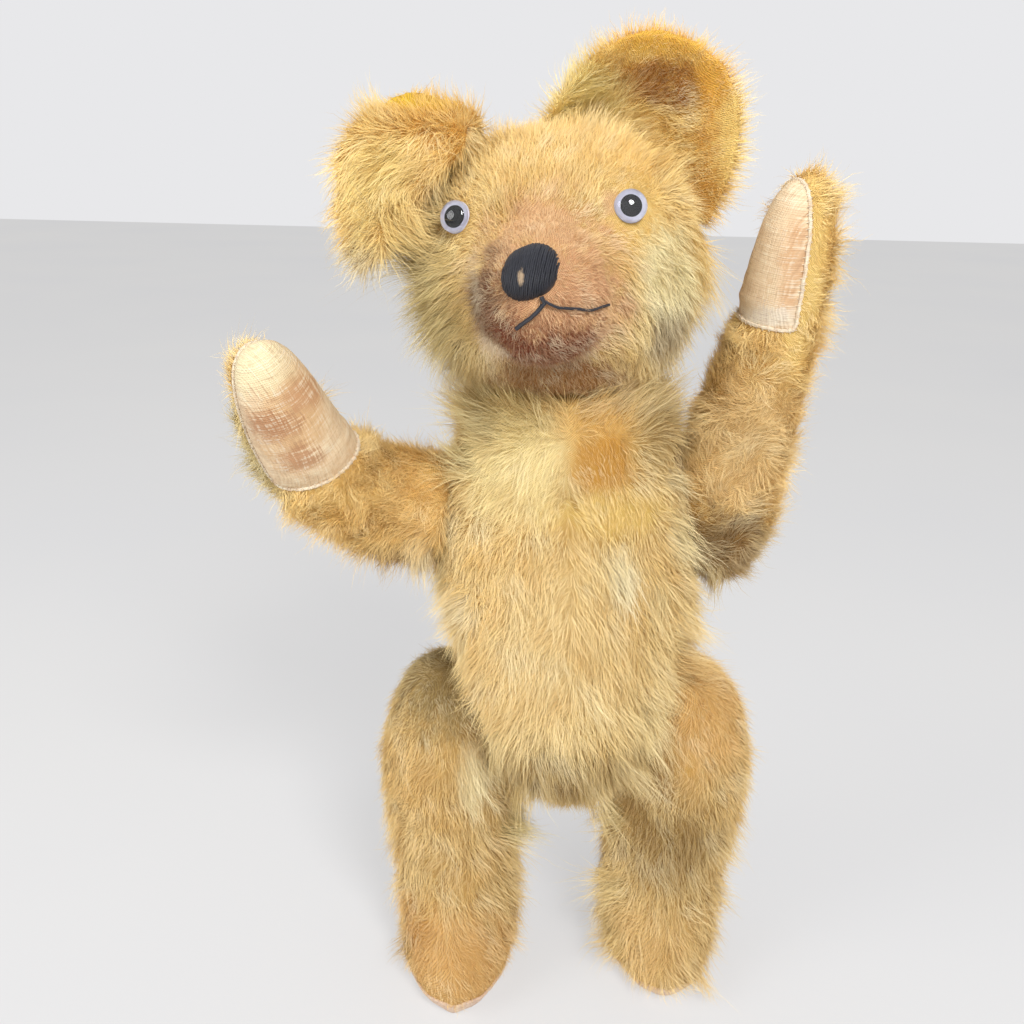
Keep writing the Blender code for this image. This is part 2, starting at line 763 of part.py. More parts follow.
# ---------------------------------------------------------------- arms


def arm_cage(path, across_hint):
    """A cage round an arm's path; half widths lie along across_hint, half depths square to it."""
    sections = []
    for index, (at, half_width, half_depth) in enumerate(path):
        before = Vector(path[max(index - 1, 0)][0])
        after = Vector(path[min(index + 1, len(path) - 1)][0])
        run = (after - before).normalized()
        across = (across_hint - run * across_hint.dot(run)).normalized()
        deep = run.cross(across)
        sections.append(
            (Vector(at), across * half_width, deep * -half_depth, deep * half_depth)
        )
    return loft(sections, 6)


def limb_form(cage, frame, inset):
    """A limb's soft form in its joint's own frame, cut flat at the joint."""
    mesh = carried(rounded(cage, inset), frame)
    floor = Vector((0.0, 0.0, HALF_JOINT + inset)) * MM
    return cut_flat(mesh, floor, Vector((0.0, 0.0, -1.0)))


def pad_box(name, frame, start, along_paw, faces, clearance):
    """The half of a paw that its pad covers: beyond the wrist seam and in front of the side seams."""
    along_paw = along_paw.normalized()
    out = (faces - along_paw * faces.dot(along_paw)).normalized()
    across = out.cross(along_paw)
    turn = Matrix((across, out, along_paw)).transposed().to_4x4()
    turn.translation = start * MM
    low = Vector((-60.0, PAD_BACK - clearance, -clearance))
    return box_cutter(name, frame, local_matrix(frame).inverted() @ turn, low, Vector((60.0, 60.0, 120.0)))


ARMS = {
    "left": (ARM_LEFT, Vector((1.0, 0.0, 0.0)), PAD_LEFT_FROM, PAD_LEFT_ALONG, PAD_LEFT_FACES),
    "right": (ARM_RIGHT, Vector((0.6, 0.0, 0.8)), PAD_RIGHT_FROM, PAD_RIGHT_ALONG, PAD_RIGHT_FACES),
}
for side, (path, across_hint, start, along_paw, faces) in ARMS.items():
    frame = shoulders[side]
    hole, inner_room, outer_room = cuts[f"shoulder_{side}"]
    cage = arm_cage(path, across_hint)
    inside = place(f"arm_{side}_inside", limb_form(cage, frame, WALL), None, frame, cutters)
    cover = place(f"arm_{side}_cover", limb_form(cage, frame, 0.0), straw_mohair, frame)
    pad = place(f"arm_{side}_pad", limb_form(cage, frame, 0.0), pad_cotton, frame)
    stuffing = place(
        f"arm_{side}_stuffing", limb_form(cage, frame, WALL + GAP), wood_wool, frame
    )
    pad_room = pad_box(f"arm_{side}_pad_room", frame, start, along_paw, faces, GAP)
    pad_half = pad_box(f"arm_{side}_pad_half", frame, start, along_paw, faces, 0.0)
    boolean(cover, "DIFFERENCE", inside)
    boolean(cover, "DIFFERENCE", pad_room)
    boolean(cover, "DIFFERENCE", hole)
    boolean(pad, "INTERSECT", pad_half)
    boolean(pad, "DIFFERENCE", inside)
    boolean(stuffing, "DIFFERENCE", outer_room)
    for piece in (cover, pad, stuffing):
        shade(piece)


# ---------------------------------------------------------------- legs

DOWN = Vector((0.0, 0.0, -1.0))


def leg_form(cage, frame, inset):
    """A leg's soft form in its hip's own frame, cut flat at the hip and at the sole."""
    mesh = rounded(cage, inset)
    cut_flat(mesh, Vector((0.0, 0.0, inset)) * MM, DOWN)
    carried(mesh, frame)
    floor = Vector((0.0, 0.0, HALF_JOINT + inset)) * MM
    return cut_flat(mesh, floor, DOWN)


for side, sign in (("left", 1), ("right", -1)):
    frame = hips[side]
    hole, inner_room, outer_room = cuts[f"hip_{side}"]
    sections = []
    for height, out, half_width, front, back in LEG:
        step_back = FOOT_STEP[side] * (1.0 - min(height, 100.0) / 100.0)
        at = Vector((middle(HIP_UP) + sign * out, step_back, height))
        sections.append(
            (at, Vector((half_width, 0.0, 0.0)), Vector((0.0, front, 0.0)), Vector((0.0, back, 0.0)))
        )
    cage = loft(sections, 6)
    inside = place(f"leg_{side}_inside", leg_form(cage, frame, WALL), None, frame, cutters)
    cover = place(f"leg_{side}_cover", leg_form(cage, frame, 0.0), tan_mohair, frame)
    pad = place(f"leg_{side}_foot_pad", leg_form(cage, frame, 0.0), pad_cotton, frame)
    stuffing = place(f"leg_{side}_stuffing", leg_form(cage, frame, WALL + GAP), wood_wool, frame)
    into_hip = local_matrix(frame).inverted()
    low = Vector((-150.0, -120.0, -20.0))
    sole_room = box_cutter(
        f"leg_{side}_sole_room", frame, into_hip, low, Vector((150.0, 120.0, SOLE_RIM + GAP))
    )
    sole_slab = box_cutter(
        f"leg_{side}_sole_slab", frame, into_hip, low, Vector((150.0, 120.0, SOLE_RIM))
    )
    boolean(cover, "DIFFERENCE", inside)
    boolean(cover, "DIFFERENCE", sole_room)
    boolean(cover, "DIFFERENCE", hole)
    boolean(pad, "INTERSECT", sole_slab)
    boolean(pad, "DIFFERENCE", inside)
    boolean(stuffing, "DIFFERENCE", outer_room)
    for piece in (cover, pad, stuffing):
        shade(piece)
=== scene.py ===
import math

import bmesh
import bpy
import numpy as np
from mathutils import Matrix, Vector


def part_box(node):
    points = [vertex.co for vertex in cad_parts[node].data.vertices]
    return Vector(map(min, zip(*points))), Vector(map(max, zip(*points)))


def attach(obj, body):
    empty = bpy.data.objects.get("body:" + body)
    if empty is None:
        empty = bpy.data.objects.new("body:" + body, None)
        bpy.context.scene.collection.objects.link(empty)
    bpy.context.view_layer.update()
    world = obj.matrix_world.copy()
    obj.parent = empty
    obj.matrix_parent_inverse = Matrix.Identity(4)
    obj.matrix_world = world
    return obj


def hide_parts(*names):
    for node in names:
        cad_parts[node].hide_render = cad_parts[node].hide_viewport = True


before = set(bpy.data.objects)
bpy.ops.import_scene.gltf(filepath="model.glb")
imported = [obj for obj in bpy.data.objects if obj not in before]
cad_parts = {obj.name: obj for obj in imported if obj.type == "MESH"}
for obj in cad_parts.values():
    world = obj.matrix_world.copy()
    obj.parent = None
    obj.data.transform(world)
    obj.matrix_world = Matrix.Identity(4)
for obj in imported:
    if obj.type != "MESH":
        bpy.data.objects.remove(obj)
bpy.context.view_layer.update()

scene = bpy.context.scene
MM = 0.001


# ---------------------------------------------------------------- camera
# A short lens stands close in front of the bear and a little above its head. It looks down by
# twenty degrees and is rolled slightly.
CAMERA_AT = Vector((-7.67, -419.97, 389.0)) * MM
LOOKS_DOWN = math.radians(20.0)
ROLLED = math.radians(1.4)
camera_data = bpy.data.cameras.new("camera")
camera_data.lens = 36.9
camera_data.sensor_width = 36.0
camera_data.clip_start = 0.02


def placed(name, data):
    """A new object in the scene."""
    obj = bpy.data.objects.new(name, data)
    scene.collection.objects.link(obj)
    return obj


camera = placed("camera", camera_data)
looks = Vector((0.0, math.cos(LOOKS_DOWN), -math.sin(LOOKS_DOWN)))
level = Vector((1.0, 0.0, 0.0))
right = level * math.cos(ROLLED) + level.cross(looks) * math.sin(ROLLED)
camera_lie = Matrix((right, right.cross(looks), -looks)).transposed().to_4x4()
camera.matrix_world = Matrix.Translation(CAMERA_AT) @ camera_lie
scene.camera = camera


# ---------------------------------------------------------------- joint hardware
# Each limb and the head turn on a pair of hardboard discs. A steel cotter pin with two washers holds
# them, and its legs are curled over inside the body.
class Link:
    """A node's output. Python's operators on it add Math nodes, or Vector Math nodes for vectors."""

    def __init__(self, graph, socket):
        self.graph = graph
        self.socket = socket

    def joined(self, operation, first, second):
        vectors = [self.graph.is_vector(item) for item in (first, second)]
        if operation == "MULTIPLY" and vectors[0] != vectors[1]:
            vector, number = (first, second) if vectors[0] else (second, first)
            return self.graph.vector("SCALE", vector, scale=number)
        if any(vectors):
            return self.graph.vector(operation, first, second)
        return self.graph.maths(operation, first, second)

    def __add__(self, other):
        return self.joined("ADD", self, other)

    def __radd__(self, other):
        return self.joined("ADD", other, self)

    def __sub__(self, other):
        return self.joined("SUBTRACT", self, other)

    def __rsub__(self, other):
        return self.joined("SUBTRACT", other, self)

    def __mul__(self, other):
        return self.joined("MULTIPLY", self, other)

    def __rmul__(self, other):
        return self.joined("MULTIPLY", other, self)

    def __truediv__(self, other):
        return self.joined("DIVIDE", self, other)

    def __rtruediv__(self, other):
        return self.joined("DIVIDE", other, self)

    def __pow__(self, other):
        return self.joined("POWER", self, other)


class Graph:
    """A node tree that is written as Python expressions."""

    def __init__(self, tree):
        self.tree = tree

    def is_vector(self, item):
        if isinstance(item, Link):
            return item.socket.type in ("VECTOR", "RGBA")
        return isinstance(item, (tuple, Vector))

    def node(self, kind, settings, inputs):
        made = self.tree.nodes.new(kind)
        for key, value in settings.items():
            setattr(made, key, value)
        for key, value in inputs.items():
            socket = made.inputs[key]
            if isinstance(value, Link):
                self.tree.links.new(value.socket, socket)
            else:
                socket.default_value = value
        return Outputs(self, made)

    def maths(self, operation, *items):
        return self.node("ShaderNodeMath", {"operation": operation}, dict(enumerate(items)))[0]

    def vector(self, operation, *items, scale=None):
        inputs = dict(enumerate(items))
        if scale is not None:
            inputs[3] = scale
        number = operation in ("LENGTH", "DOT_PRODUCT", "DISTANCE")
        return self.node("ShaderNodeVectorMath", {"operation": operation}, inputs)[int(number)]

    def step(self, value, low, high):
        """0 before low and 1 after high, with a smooth turn between them."""
        return self.node(
            "ShaderNodeMapRange", {"interpolation_type": "SMOOTHSTEP"},
            {"Value": value, "From Min": low, "From Max": high},
        )["Result"]

    def mix(self, share, first, second, blend="MIX"):
        return self.node(
            "ShaderNodeMix", {"data_type": "RGBA", "blend_type": blend}, {0: share, 6: first, 7: second}
        )[2]

    def noise(self, place, size, detail=2.0, rough=0.5):
        """A cloudy value round 0.5 whose lumps are about size millimetres across."""
        return self.node(
            "ShaderNodeTexNoise", {}, {"Vector": place, "Scale": 1.0 / size, "Detail": detail,
                                       "Roughness": rough},
        )["Fac"]


class Outputs:
    """A node's outputs, each taken by its name or number as a Link."""

    def __init__(self, graph, made):
        self.graph = graph
        self.made = made

    def __getitem__(self, key):
        return Link(self.graph, self.made.outputs[key])


def dyed(red, green, blue):
    """A colour from its red, green and blue on the usual 0 to 255 scale."""
    parts = [part / 255.0 for part in (red, green, blue)]
    even = [((part + 0.055) / 1.055) ** 2.4 if part > 0.04 else part / 12.92 for part in parts]
    return (*even, 1.0)


def new_finish(name):
    """A material, its graph and the place on the piece in millimetres."""
    material = bpy.data.materials.new(name)
    material.use_nodes = True
    material.node_tree.nodes.clear()
    graph = Graph(material.node_tree)
    place = graph.node("ShaderNodeTexCoord", {}, {})["Object"] * 1000.0
    return material, graph, place


def lit(graph, colour, rough, height=None, depth=0.2, constants=None, relief=1.0):
    """Ends a material in a Principled shader. The height is in units of depth, in millimetres."""
    inputs = {"Base Color": colour, "Roughness": rough}
    inputs.update(constants or {})
    if height is not None:
        inputs["Normal"] = graph.node(
            "ShaderNodeBump", {}, {"Strength": relief, "Distance": depth * MM, "Height": height}
        )["Normal"]
    shader = graph.node("ShaderNodeBsdfPrincipled", {}, inputs)["BSDF"]
    graph.node("ShaderNodeOutputMaterial", {}, {"Surface": shader})


hardboard, graph, place = new_finish("hardboard")
fibres = graph.noise(place * (1.0, 1.0, 0.25), 1.4, 4.0)
specks = graph.noise(place, 0.5, 3.0)
lit(
    graph, graph.mix(graph.step(fibres, 0.35, 0.7), dyed(104, 78, 56), dyed(142, 110, 80)),
    0.72 + 0.2 * specks, fibres + 0.5 * specks, 0.15,
)

dull_steel, graph, place = new_finish("dull_steel")
tarnish = graph.step(graph.noise(place, 3.0, 4.0), 0.42, 0.66)
scratches = graph.noise(place * (6.0, 1.0, 1.0), 1.0, 5.0)
lit(
    graph, graph.mix(tarnish, dyed(172, 170, 166), dyed(112, 98, 84)), 0.28 + 0.35 * tarnish,
    scratches, 0.02, {"Metallic": 0.95},
)


def dress_node(name, material):
    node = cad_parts[name]
    node.data.materials.clear()
    node.data.materials.append(material)


JOINTS = ("neck", "shoulder_left", "shoulder_right", "hip_left", "hip_right")
for joint in JOINTS:
    for end in ("inner", "outer"):
        dress_node(f"{joint}_disc_{end}", hardboard)
        dress_node(f"{joint}_washer_{end}", dull_steel)
    dress_node(f"{joint}_cotter_pin", dull_steel)


# ---------------------------------------------------------------- stuffing
# Fine wood wool is packed hard into every part. It presses against the cloth in shallow lumps and
# leaves a hollow round each joint.
wood_wool, graph, place = new_finish("wood_wool")
curls = graph.noise(place, 6.0, 2.0)
shreds = graph.node(
    "ShaderNodeTexWave", {"wave_type": "BANDS"},
    {"Vector": place + curls * (9.0, 9.0, 9.0), "Scale": 0.35, "Distortion": 7.0, "Detail": 3.0,
     "Detail Scale": 1.5},
)["Fac"]
lit(
    graph, graph.mix(shreds, dyed(150, 116, 70), dyed(214, 186, 136)), 0.72 + 0.15 * curls, shreds, 0.6,
)


def joined_copy(name, nodes):
    """One mesh object with the merged solids of these CAD nodes."""
    bm = bmesh.new()
    for node in nodes:
        bm.from_mesh(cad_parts[node].data)
    bmesh.ops.remove_doubles(bm, verts=bm.verts, dist=1e-6)
    mesh = bpy.data.meshes.new(name)
    bm.to_mesh(mesh)
    bm.free()
    return placed(name, mesh)


def settled(obj):
    """Turns the object's modifiers into plain mesh."""
    graph_now = bpy.context.evaluated_depsgraph_get()
    made = bpy.data.meshes.new_from_object(obj.evaluated_get(graph_now))
    obj.modifiers.clear()
    spent = obj.data
    obj.data = made
    made.name = obj.name
    bpy.data.meshes.remove(spent)


def remeshed(obj, voxel, smooth_rounds):
    remesh = obj.modifiers.new("remesh", "REMESH")
    remesh.mode = "VOXEL"
    remesh.voxel_size = voxel * MM
    smooth = obj.modifiers.new("smooth", "SMOOTH")
    smooth.factor = 0.5
    smooth.iterations = smooth_rounds
    settled(obj)
    obj.data.materials.clear()
    obj.data.shade_smooth()


def read(items, key, kind=float, width=1):
    """One value of every item, or one row of them where it is wider than one."""
    values = np.empty(len(items) * width, kind)
    items.foreach_get(key, values)
    return values if width == 1 else values.reshape(-1, width)


def points_of(mesh):
    """The mesh's points in millimetres, and the way that each faces."""
    places = read(mesh.vertices, "co", np.float32, 3).astype(float) / MM
    return places, read(mesh.vertex_normals, "vector", np.float32, 3).astype(float)


def set_points(mesh, points):
    mesh.vertices.foreach_set("co", (points * MM).astype(np.float32).ravel())
    mesh.update()


CLOUD_WAVES = 7


def cloudy(points, size, seed):
    """A smooth random value from -1 to 1 at each point, with lumps about size millimetres across."""
    draw = np.random.default_rng(seed)
    total = np.zeros(len(points))
    for _ in range(CLOUD_WAVES):
        way = draw.normal(size=3)
        way *= 2.0 * math.pi / size / np.linalg.norm(way) * draw.uniform(0.6, 1.3)
        total += np.sin(points @ way + draw.uniform(0.0, 2.0 * math.pi))
    return total / 3.2


def swirls(points, size, seeds):
    """A smooth random way at each point, with one seed for each axis."""
    return np.stack([cloudy(points, size, seed) for seed in seeds], 1)


def fitted(obj, finish, body, replaced):
    """Puts a finished piece on its body, in place of these CAD nodes."""
    obj.data.materials.append(finish)
    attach(obj, body)
    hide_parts(*replaced)


STUFFED = {"body": "torso", "head": "head", "arm_left": "arm_left", "arm_right": "arm_right",
           "leg_left": "leg_left", "leg_right": "leg_right"}
for number, (part, body) in enumerate(STUFFED.items()):
    wool = joined_copy(f"{part}_wood_wool", [f"{part}_stuffing"])
    remeshed(wool, 5.5, 1)
    wool_points, wool_facings = points_of(wool.data)
    pressed_in = 0.9 + 0.8 * cloudy(wool_points, 14.0, number + 3)
    set_points(wool.data, wool_points - wool_facings * np.clip(pressed_in, 0.3, 2.0)[:, None])
    fitted(wool, wood_wool, body, [f"{part}_stuffing"])


# ---------------------------------------------------------------- body
# The body is four panels of straw gold mohair with a centre seam down the chest. The pile falls from
# the shoulders, is longest over the belly and is rubbed thin on the chest.
def skin_of(name, nodes, voxel, smooth_rounds=6):
    """The outer cloth round these solids, as one closed skin of even faces."""
    obj = joined_copy(name, nodes)
    remeshed(obj, voxel, smooth_rounds)
    bm = bmesh.new()
    bm.from_mesh(obj.data)
    left = set(bm.verts)
    islands = []
    while left:
        found = {left.pop()}
        edge = list(found)
        while edge:
            beside = {e.other_vert(v) for v in edge for e in v.link_edges} & left
            left -= beside
            found |= beside
            edge = list(beside)
        islands.append(found)
    largest = max(islands, key=len)
    bmesh.ops.delete(bm, geom=[v for v in bm.verts if v not in largest], context="VERTS")
    bm.to_mesh(obj.data)
    bm.free()
    return obj


SWELL_STEPS = 20
SWELL_PRESSURE = 4.0


def plumped(obj, joint_at, most):
    """Swells the cloth from inside, as tight stuffing does. It moves by most millimetres at most, and
    not at all where it lies against its neighbour round a joint."""
    points, _ = points_of(obj.data)
    free = eased(points[:, 2], 4.0, 16.0)
    for at in joint_at:
        free = free * eased(distance(points, at), 28.0, 46.0)
    cloth = obj.modifiers.new("cloth", "CLOTH")
    cloth.settings.quality = 4
    cloth.settings.use_pressure = True
    cloth.settings.uniform_pressure_force = SWELL_PRESSURE
    cloth.settings.effector_weights.gravity = 0.0
    cloth.collision_settings.use_collision = False
    cloth.point_cache.frame_start = 1
    cloth.point_cache.frame_end = SWELL_STEPS
    for moment in range(1, SWELL_STEPS + 1):
        scene.frame_set(moment)
    settled(obj)
    scene.frame_set(1)
    moved = points_of(obj.data)[0] - points
    far = np.linalg.norm(moved, axis=1, keepdims=True)
    moved = moved * np.minimum(1.0, most / np.maximum(far, 1e-6)) * free[:, None]
    set_points(obj.data, points + moved)
    obj.data.shade_smooth()


def eased(value, low, high):
    """0 below low and 1 above high, with a smooth turn between them."""
    share = np.clip((value - low) / (high - low), 0.0, 1.0)
    return share * share * (3.0 - 2.0 * share)


def bell(value, width):
    """1 where the value is 0, falling off smoothly to both sides."""
    return np.exp(-(value / width) ** 2)


def unit(vectors):
    return vectors / np.maximum(np.linalg.norm(vectors, axis=-1, keepdims=True), 1e-9)


def distance(points, at, half=(1.0, 1.0, 1.0)):
    """How far each point is from a place, counted in these half sizes."""
    return np.linalg.norm((points - np.array(at)) / np.array(half), axis=1)


class Patch:
    """A worn or coloured place, or a place of painted light or shade: its middle and half sizes, its colour
    and how strong that is, and how much of the pile's length and thickness is left there. A matted lock
    also has a tip, which is how far from its middle the ends of its hairs meet."""

    def __init__(self, middle, half, colour, strength=0.8, long=1.0, thick=1.0, tip=None):
        self.tip = tip
        self.middle = middle
        self.half = half
        self.colour = dyed(*colour)
        self.strength = strength
        self.long = long
        self.thick = thick


def patched(graph, place, colour, patches):
    """The colour with each patch laid over it, ragged at its edge."""
    ragged = graph.noise(place, 9.0, 3.0, 0.6) * 1.3 + graph.noise(place, 2.2, 2.0) * 0.7 - 1.0
    for patch in patches:
        away = graph.vector("LENGTH", (place - patch.middle) / patch.half)
        inside = 1.0 - graph.step(away + ragged, 0.5, 1.3)
        colour = graph.mix(inside * patch.strength, colour, patch.colour)
    return colour


def left_of_pile(points, patches):
    """The share of the pile's length and of its thickness that the patches leave at each point."""
    long = np.ones(len(points))
    thick = np.ones(len(points))
    ragged = 0.22 * cloudy(points, 13.0, 5)
    for patch in patches:
        inside = 1.0 - eased(distance(points, patch.middle, patch.half) + ragged, 0.55, 1.25)
        long *= 1.0 + (patch.long - 1.0) * inside
        thick *= 1.0 + (patch.thick - 1.0) * inside
    return long, thick


def gathered(points, ways, patches):
    """Turns the pile of each lock towards the place where its tips meet."""
    for patch in patches:
        if patch.tip is None:
            continue
        inside = (1.0 - eased(distance(points, patch.middle, patch.half), 0.7, 1.3))[:, None]
        to_tip = unit(np.array(patch.middle) + np.array(patch.tip) - points)
        ways = unit(ways) * (1.0 - inside) + to_tip * inside
    return ways


def hair_blank(name, joins):
    """A flat hair for the pile trees: a zigzag of thin triangles with its tip at the last point."""
    mesh = bpy.data.meshes.new(name)
    rows = 2 * joins + 1
    mesh.from_pydata(
        [(0.0, 0.0, 0.0)] * rows, [], [(i, i + 1, i + 2) if i % 2 == 0 else (i + 1, i, i + 2)
                                       for i in range(rows - 2)],
    )
    along = mesh.attributes.new("along", "FLOAT", "POINT")
    side = mesh.attributes.new("side", "FLOAT", "POINT")
    along.data.foreach_set("value", [(i // 2) / joins for i in range(rows)])
    side.data.foreach_set("value", [0.0 if i == rows - 1 else (-0.5, 0.5)[i % 2] for i in range(rows)])
    blank = placed(name, mesh)
    blank.hide_render = True
    return blank


class Maker:
    """A Geometry Nodes tree with named inputs, which makes what repeats."""

    def __init__(self, name, inputs):
        self.tree = bpy.data.node_groups.new(name, "GeometryNodeTree")
        sockets = self.tree.interface
        self.sockets = {
            key: sockets.new_socket(name=key, in_out="INPUT", socket_type=f"NodeSocket{kind}").identifier
            for key, kind in inputs.items()
        }
        sockets.new_socket(name="Made", in_out="OUTPUT", socket_type="NodeSocketGeometry")
        self.graph = Graph(self.tree)

    def put_on(self, obj, inputs):
        modifier = obj.modifiers.new(self.tree.name, "NODES")
        modifier.node_group = self.tree
        for key, value in inputs.items():
            modifier[self.sockets[key]] = value


LOWEST_HAIR = 0.4 * MM
mohair = Maker("mohair", {
    "Cloth": "Geometry", "Hair": "Object", "Density": "Float", "Length": "Float", "Width": "Float",
    "Lift": "Float", "Stray": "Float", "Wave": "Float", "Lock Size": "Float", "Lock Pull": "Float",
    "Droop": "Float", "Seed": "Int", "Coat": "Material",
})
graph = mohair.graph
given = graph.node("NodeGroupInput", {}, {})


def attribute(name, kind="FLOAT"):
    return graph.node("GeometryNodeInputNamedAttribute", {"data_type": kind}, {"Name": name})[0]


def stored(geometry, name, kind, value):
    return graph.node(
        "GeometryNodeStoreNamedAttribute", {"data_type": kind, "domain": "POINT"},
        {"Geometry": geometry, "Name": name, "Value": value},
    )["Geometry"]


roots = graph.node(
    "GeometryNodeDistributePointsOnFaces", {"distribute_method": "RANDOM"},
    {"Mesh": given["Cloth"], "Density": given["Density"] * attribute("thick"), "Seed": given["Seed"]},
)
luck = graph.node(
    "FunctionNodeRandomValue", {"data_type": "FLOAT_VECTOR"},
    {0: (0.0, 0.0, 0.0), 1: (1.0, 1.0, 1.0), "Seed": given["Seed"]},
)[0]
rooted = stored(roots["Points"], "facing", "FLOAT_VECTOR", roots["Normal"])
rooted = stored(rooted, "root", "FLOAT_VECTOR", graph.node("GeometryNodeInputPosition", {}, {})[0])
rooted = stored(rooted, "luck", "FLOAT_VECTOR", luck)
blank_hair = graph.node("GeometryNodeObjectInfo", {}, {"Object": given["Hair"]})["Geometry"]
hairs = graph.node("GeometryNodeInstanceOnPoints", {}, {"Points": rooted, "Instance": blank_hair})[0]
hairs = graph.node("GeometryNodeRealizeInstances", {}, {"Geometry": hairs})[0]
along, side = attribute("along"), attribute("side")
root, facing = attribute("root", "FLOAT_VECTOR"), attribute("facing", "FLOAT_VECTOR")
comb, luck = attribute("comb", "FLOAT_VECTOR"), attribute("luck", "FLOAT_VECTOR")
parts = graph.node("ShaderNodeSeparateXYZ", {}, {"Vector": luck})
lock = graph.node(
    "ShaderNodeTexVoronoi", {}, {"Vector": root, "Scale": 1.0 / given["Lock Size"]}
)
swirl = graph.node(
    "ShaderNodeTexNoise", {},
    {"Vector": root, "Scale": 0.5 / given["Lock Size"], "Detail": 3.0, "Roughness": 0.6},
)
lock_way = (swirl["Color"] - (0.5, 0.5, 0.5)) * 3.0
own_way = luck - (0.5, 0.5, 0.5)
to_lock = lock["Position"] - root
to_lock = to_lock - facing * graph.vector("DOT_PRODUCT", to_lock, facing)
length = attribute("pile") * given["Length"] * (0.65 + 0.7 * parts["X"]) * (0.4 + 1.2 * swirl["Fac"])
starts = graph.vector(
    "NORMALIZE", facing * given["Lift"] + comb + lock_way * (given["Stray"] * 0.7)
    + own_way * (given["Stray"] * 0.6)
)
ends = graph.vector(
    "NORMALIZE", facing * (given["Lift"] * 0.3) + comb + lock_way * (given["Stray"] * 1.5)
    + own_way * given["Stray"] + (0.0, 0.0, -1.0) * given["Droop"]
)
square = along * along
middle = root + starts * (length * (along - square * 0.5)) + ends * (length * square * 0.5)
middle = middle + to_lock * (given["Lock Pull"] * square)
tangent = graph.vector("NORMALIZE", starts * (1.0 - along) + ends * along)
across = graph.vector("NORMALIZE", graph.vector("CROSS_PRODUCT", tangent, facing))
waves = graph.maths("SINE", along * (7.0 + 4.0 * parts["Y"]) + parts["Z"] * 6.28)
middle = middle + across * (waves * given["Wave"] * along)
twist = (parts["Y"] - 0.5) * 2.2
flat = across * graph.maths("COSINE", twist) + graph.vector(
    "CROSS_PRODUCT", tangent, across
) * graph.maths("SINE", twist)
wide = given["Width"] * (1.0 - 0.7 * along) * (0.7 + 0.6 * parts["Z"])
ends_at = graph.node("ShaderNodeSeparateXYZ", {}, {"Vector": middle + flat * (side * wide)})
above_floor = graph.node(
    "ShaderNodeCombineXYZ", {},
    {"X": ends_at["X"], "Y": ends_at["Y"], "Z": graph.maths("MAXIMUM", ends_at["Z"], LOWEST_HAIR)},
)[0]
hairs = graph.node("GeometryNodeSetPosition", {}, {"Geometry": hairs, "Position": above_floor})[0]
hairs = graph.node("GeometryNodeSetMaterial", {}, {"Geometry": hairs, "Material": given["Coat"]})[0]
graph.node("NodeGroupOutput", {}, {"Made": hairs})

HAIR_WIDTH = 0.21 * MM
FUZZ_WIDTH = 0.3 * MM
WISP_WIDTH = 0.18 * MM
WISPS_AMONG = 24
long_hair = hair_blank("long_hair", 3)
short_hair = hair_blank("short_hair", 2)
fuzz_hair = hair_blank("fuzz_hair", 1)


def comb_over(obj, comb_ways, pile, thick):
    """Writes on the cloth which way its pile lies, its length in millimetres and its thickness. No
    hair is combed into the cloth."""
    facings = points_of(obj.data)[1]
    inwards = np.minimum((comb_ways * facings).sum(axis=1, keepdims=True), 0.0)
    comb_ways = unit(comb_ways - facings * inwards)
    for key, kind, field, values in (
        ("comb", "FLOAT_VECTOR", "vector", comb_ways), ("pile", "FLOAT", "value", pile * MM),
        ("thick", "FLOAT", "value", np.clip(thick, 0.0, 1.0)),
    ):
        layer = obj.data.attributes.new(key, kind, "POINT")
        layer.data.foreach_set(field, values.astype(np.float32).ravel())


def grown(name, obj, body, count, hair, coat, slot, seed, **settings):
    """Roots about count hairs on the cloth, as one plain mesh that rides on the body."""
    mesh = obj.data
    thick = read(mesh.attributes["thick"].data, "value")[read(mesh.loops, "vertex_index", int)]
    shares = np.add.reduceat(thick, read(mesh.polygons, "loop_start", int))
    shares = shares / read(mesh.polygons, "loop_total", int)
    area = (read(mesh.polygons, "area") * shares).sum()
    inputs = {
        "Hair": hair, "Density": count / area, "Seed": seed, "Coat": coat,
        "Length": 1.0, "Width": HAIR_WIDTH, "Lift": 0.42, "Stray": 0.8, "Wave": 0.9 * MM,
        "Lock Size": 6.0 * MM, "Lock Pull": 0.2, "Droop": 0.1,
    }
    inputs.update(settings)
    grower = placed(name, mesh)
    mohair.put_on(grower, inputs)
    graph_now = bpy.context.evaluated_depsgraph_get()
    made = bpy.data.meshes.new_from_object(grower.evaluated_get(graph_now))
    grower.modifiers.clear()
    grower.data = made
    made.name = name
    for spare in ("comb", "pile", "facing", "thick"):
        if spare in made.attributes:
            made.attributes.remove(made.attributes[spare])
    rows = len(hair.data.vertices)
    hairs_made = len(made.vertices) // rows
    # Each hair has a small cell of its own on the map, root at the bottom and tip at the top.
    cells = math.ceil(math.sqrt(hairs_made))
    which, row = np.divmod(read(made.loops, "vertex_index", int), rows)
    joins = (rows - 1) // 2
    across_cell = np.where(row == rows - 1, 0.5, np.where(row % 2 == 0, 0.15, 0.85))
    up_cell = 0.1 + 0.8 * (row // 2) / joins
    spots = np.stack([(which % cells + across_cell) / cells, (which // cells + up_cell) / cells], 1)
    made.uv_layers.new(name="OFBake").data.foreach_set("uv", spots.astype(np.float32).ravel())
    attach(grower, body)
    return grower


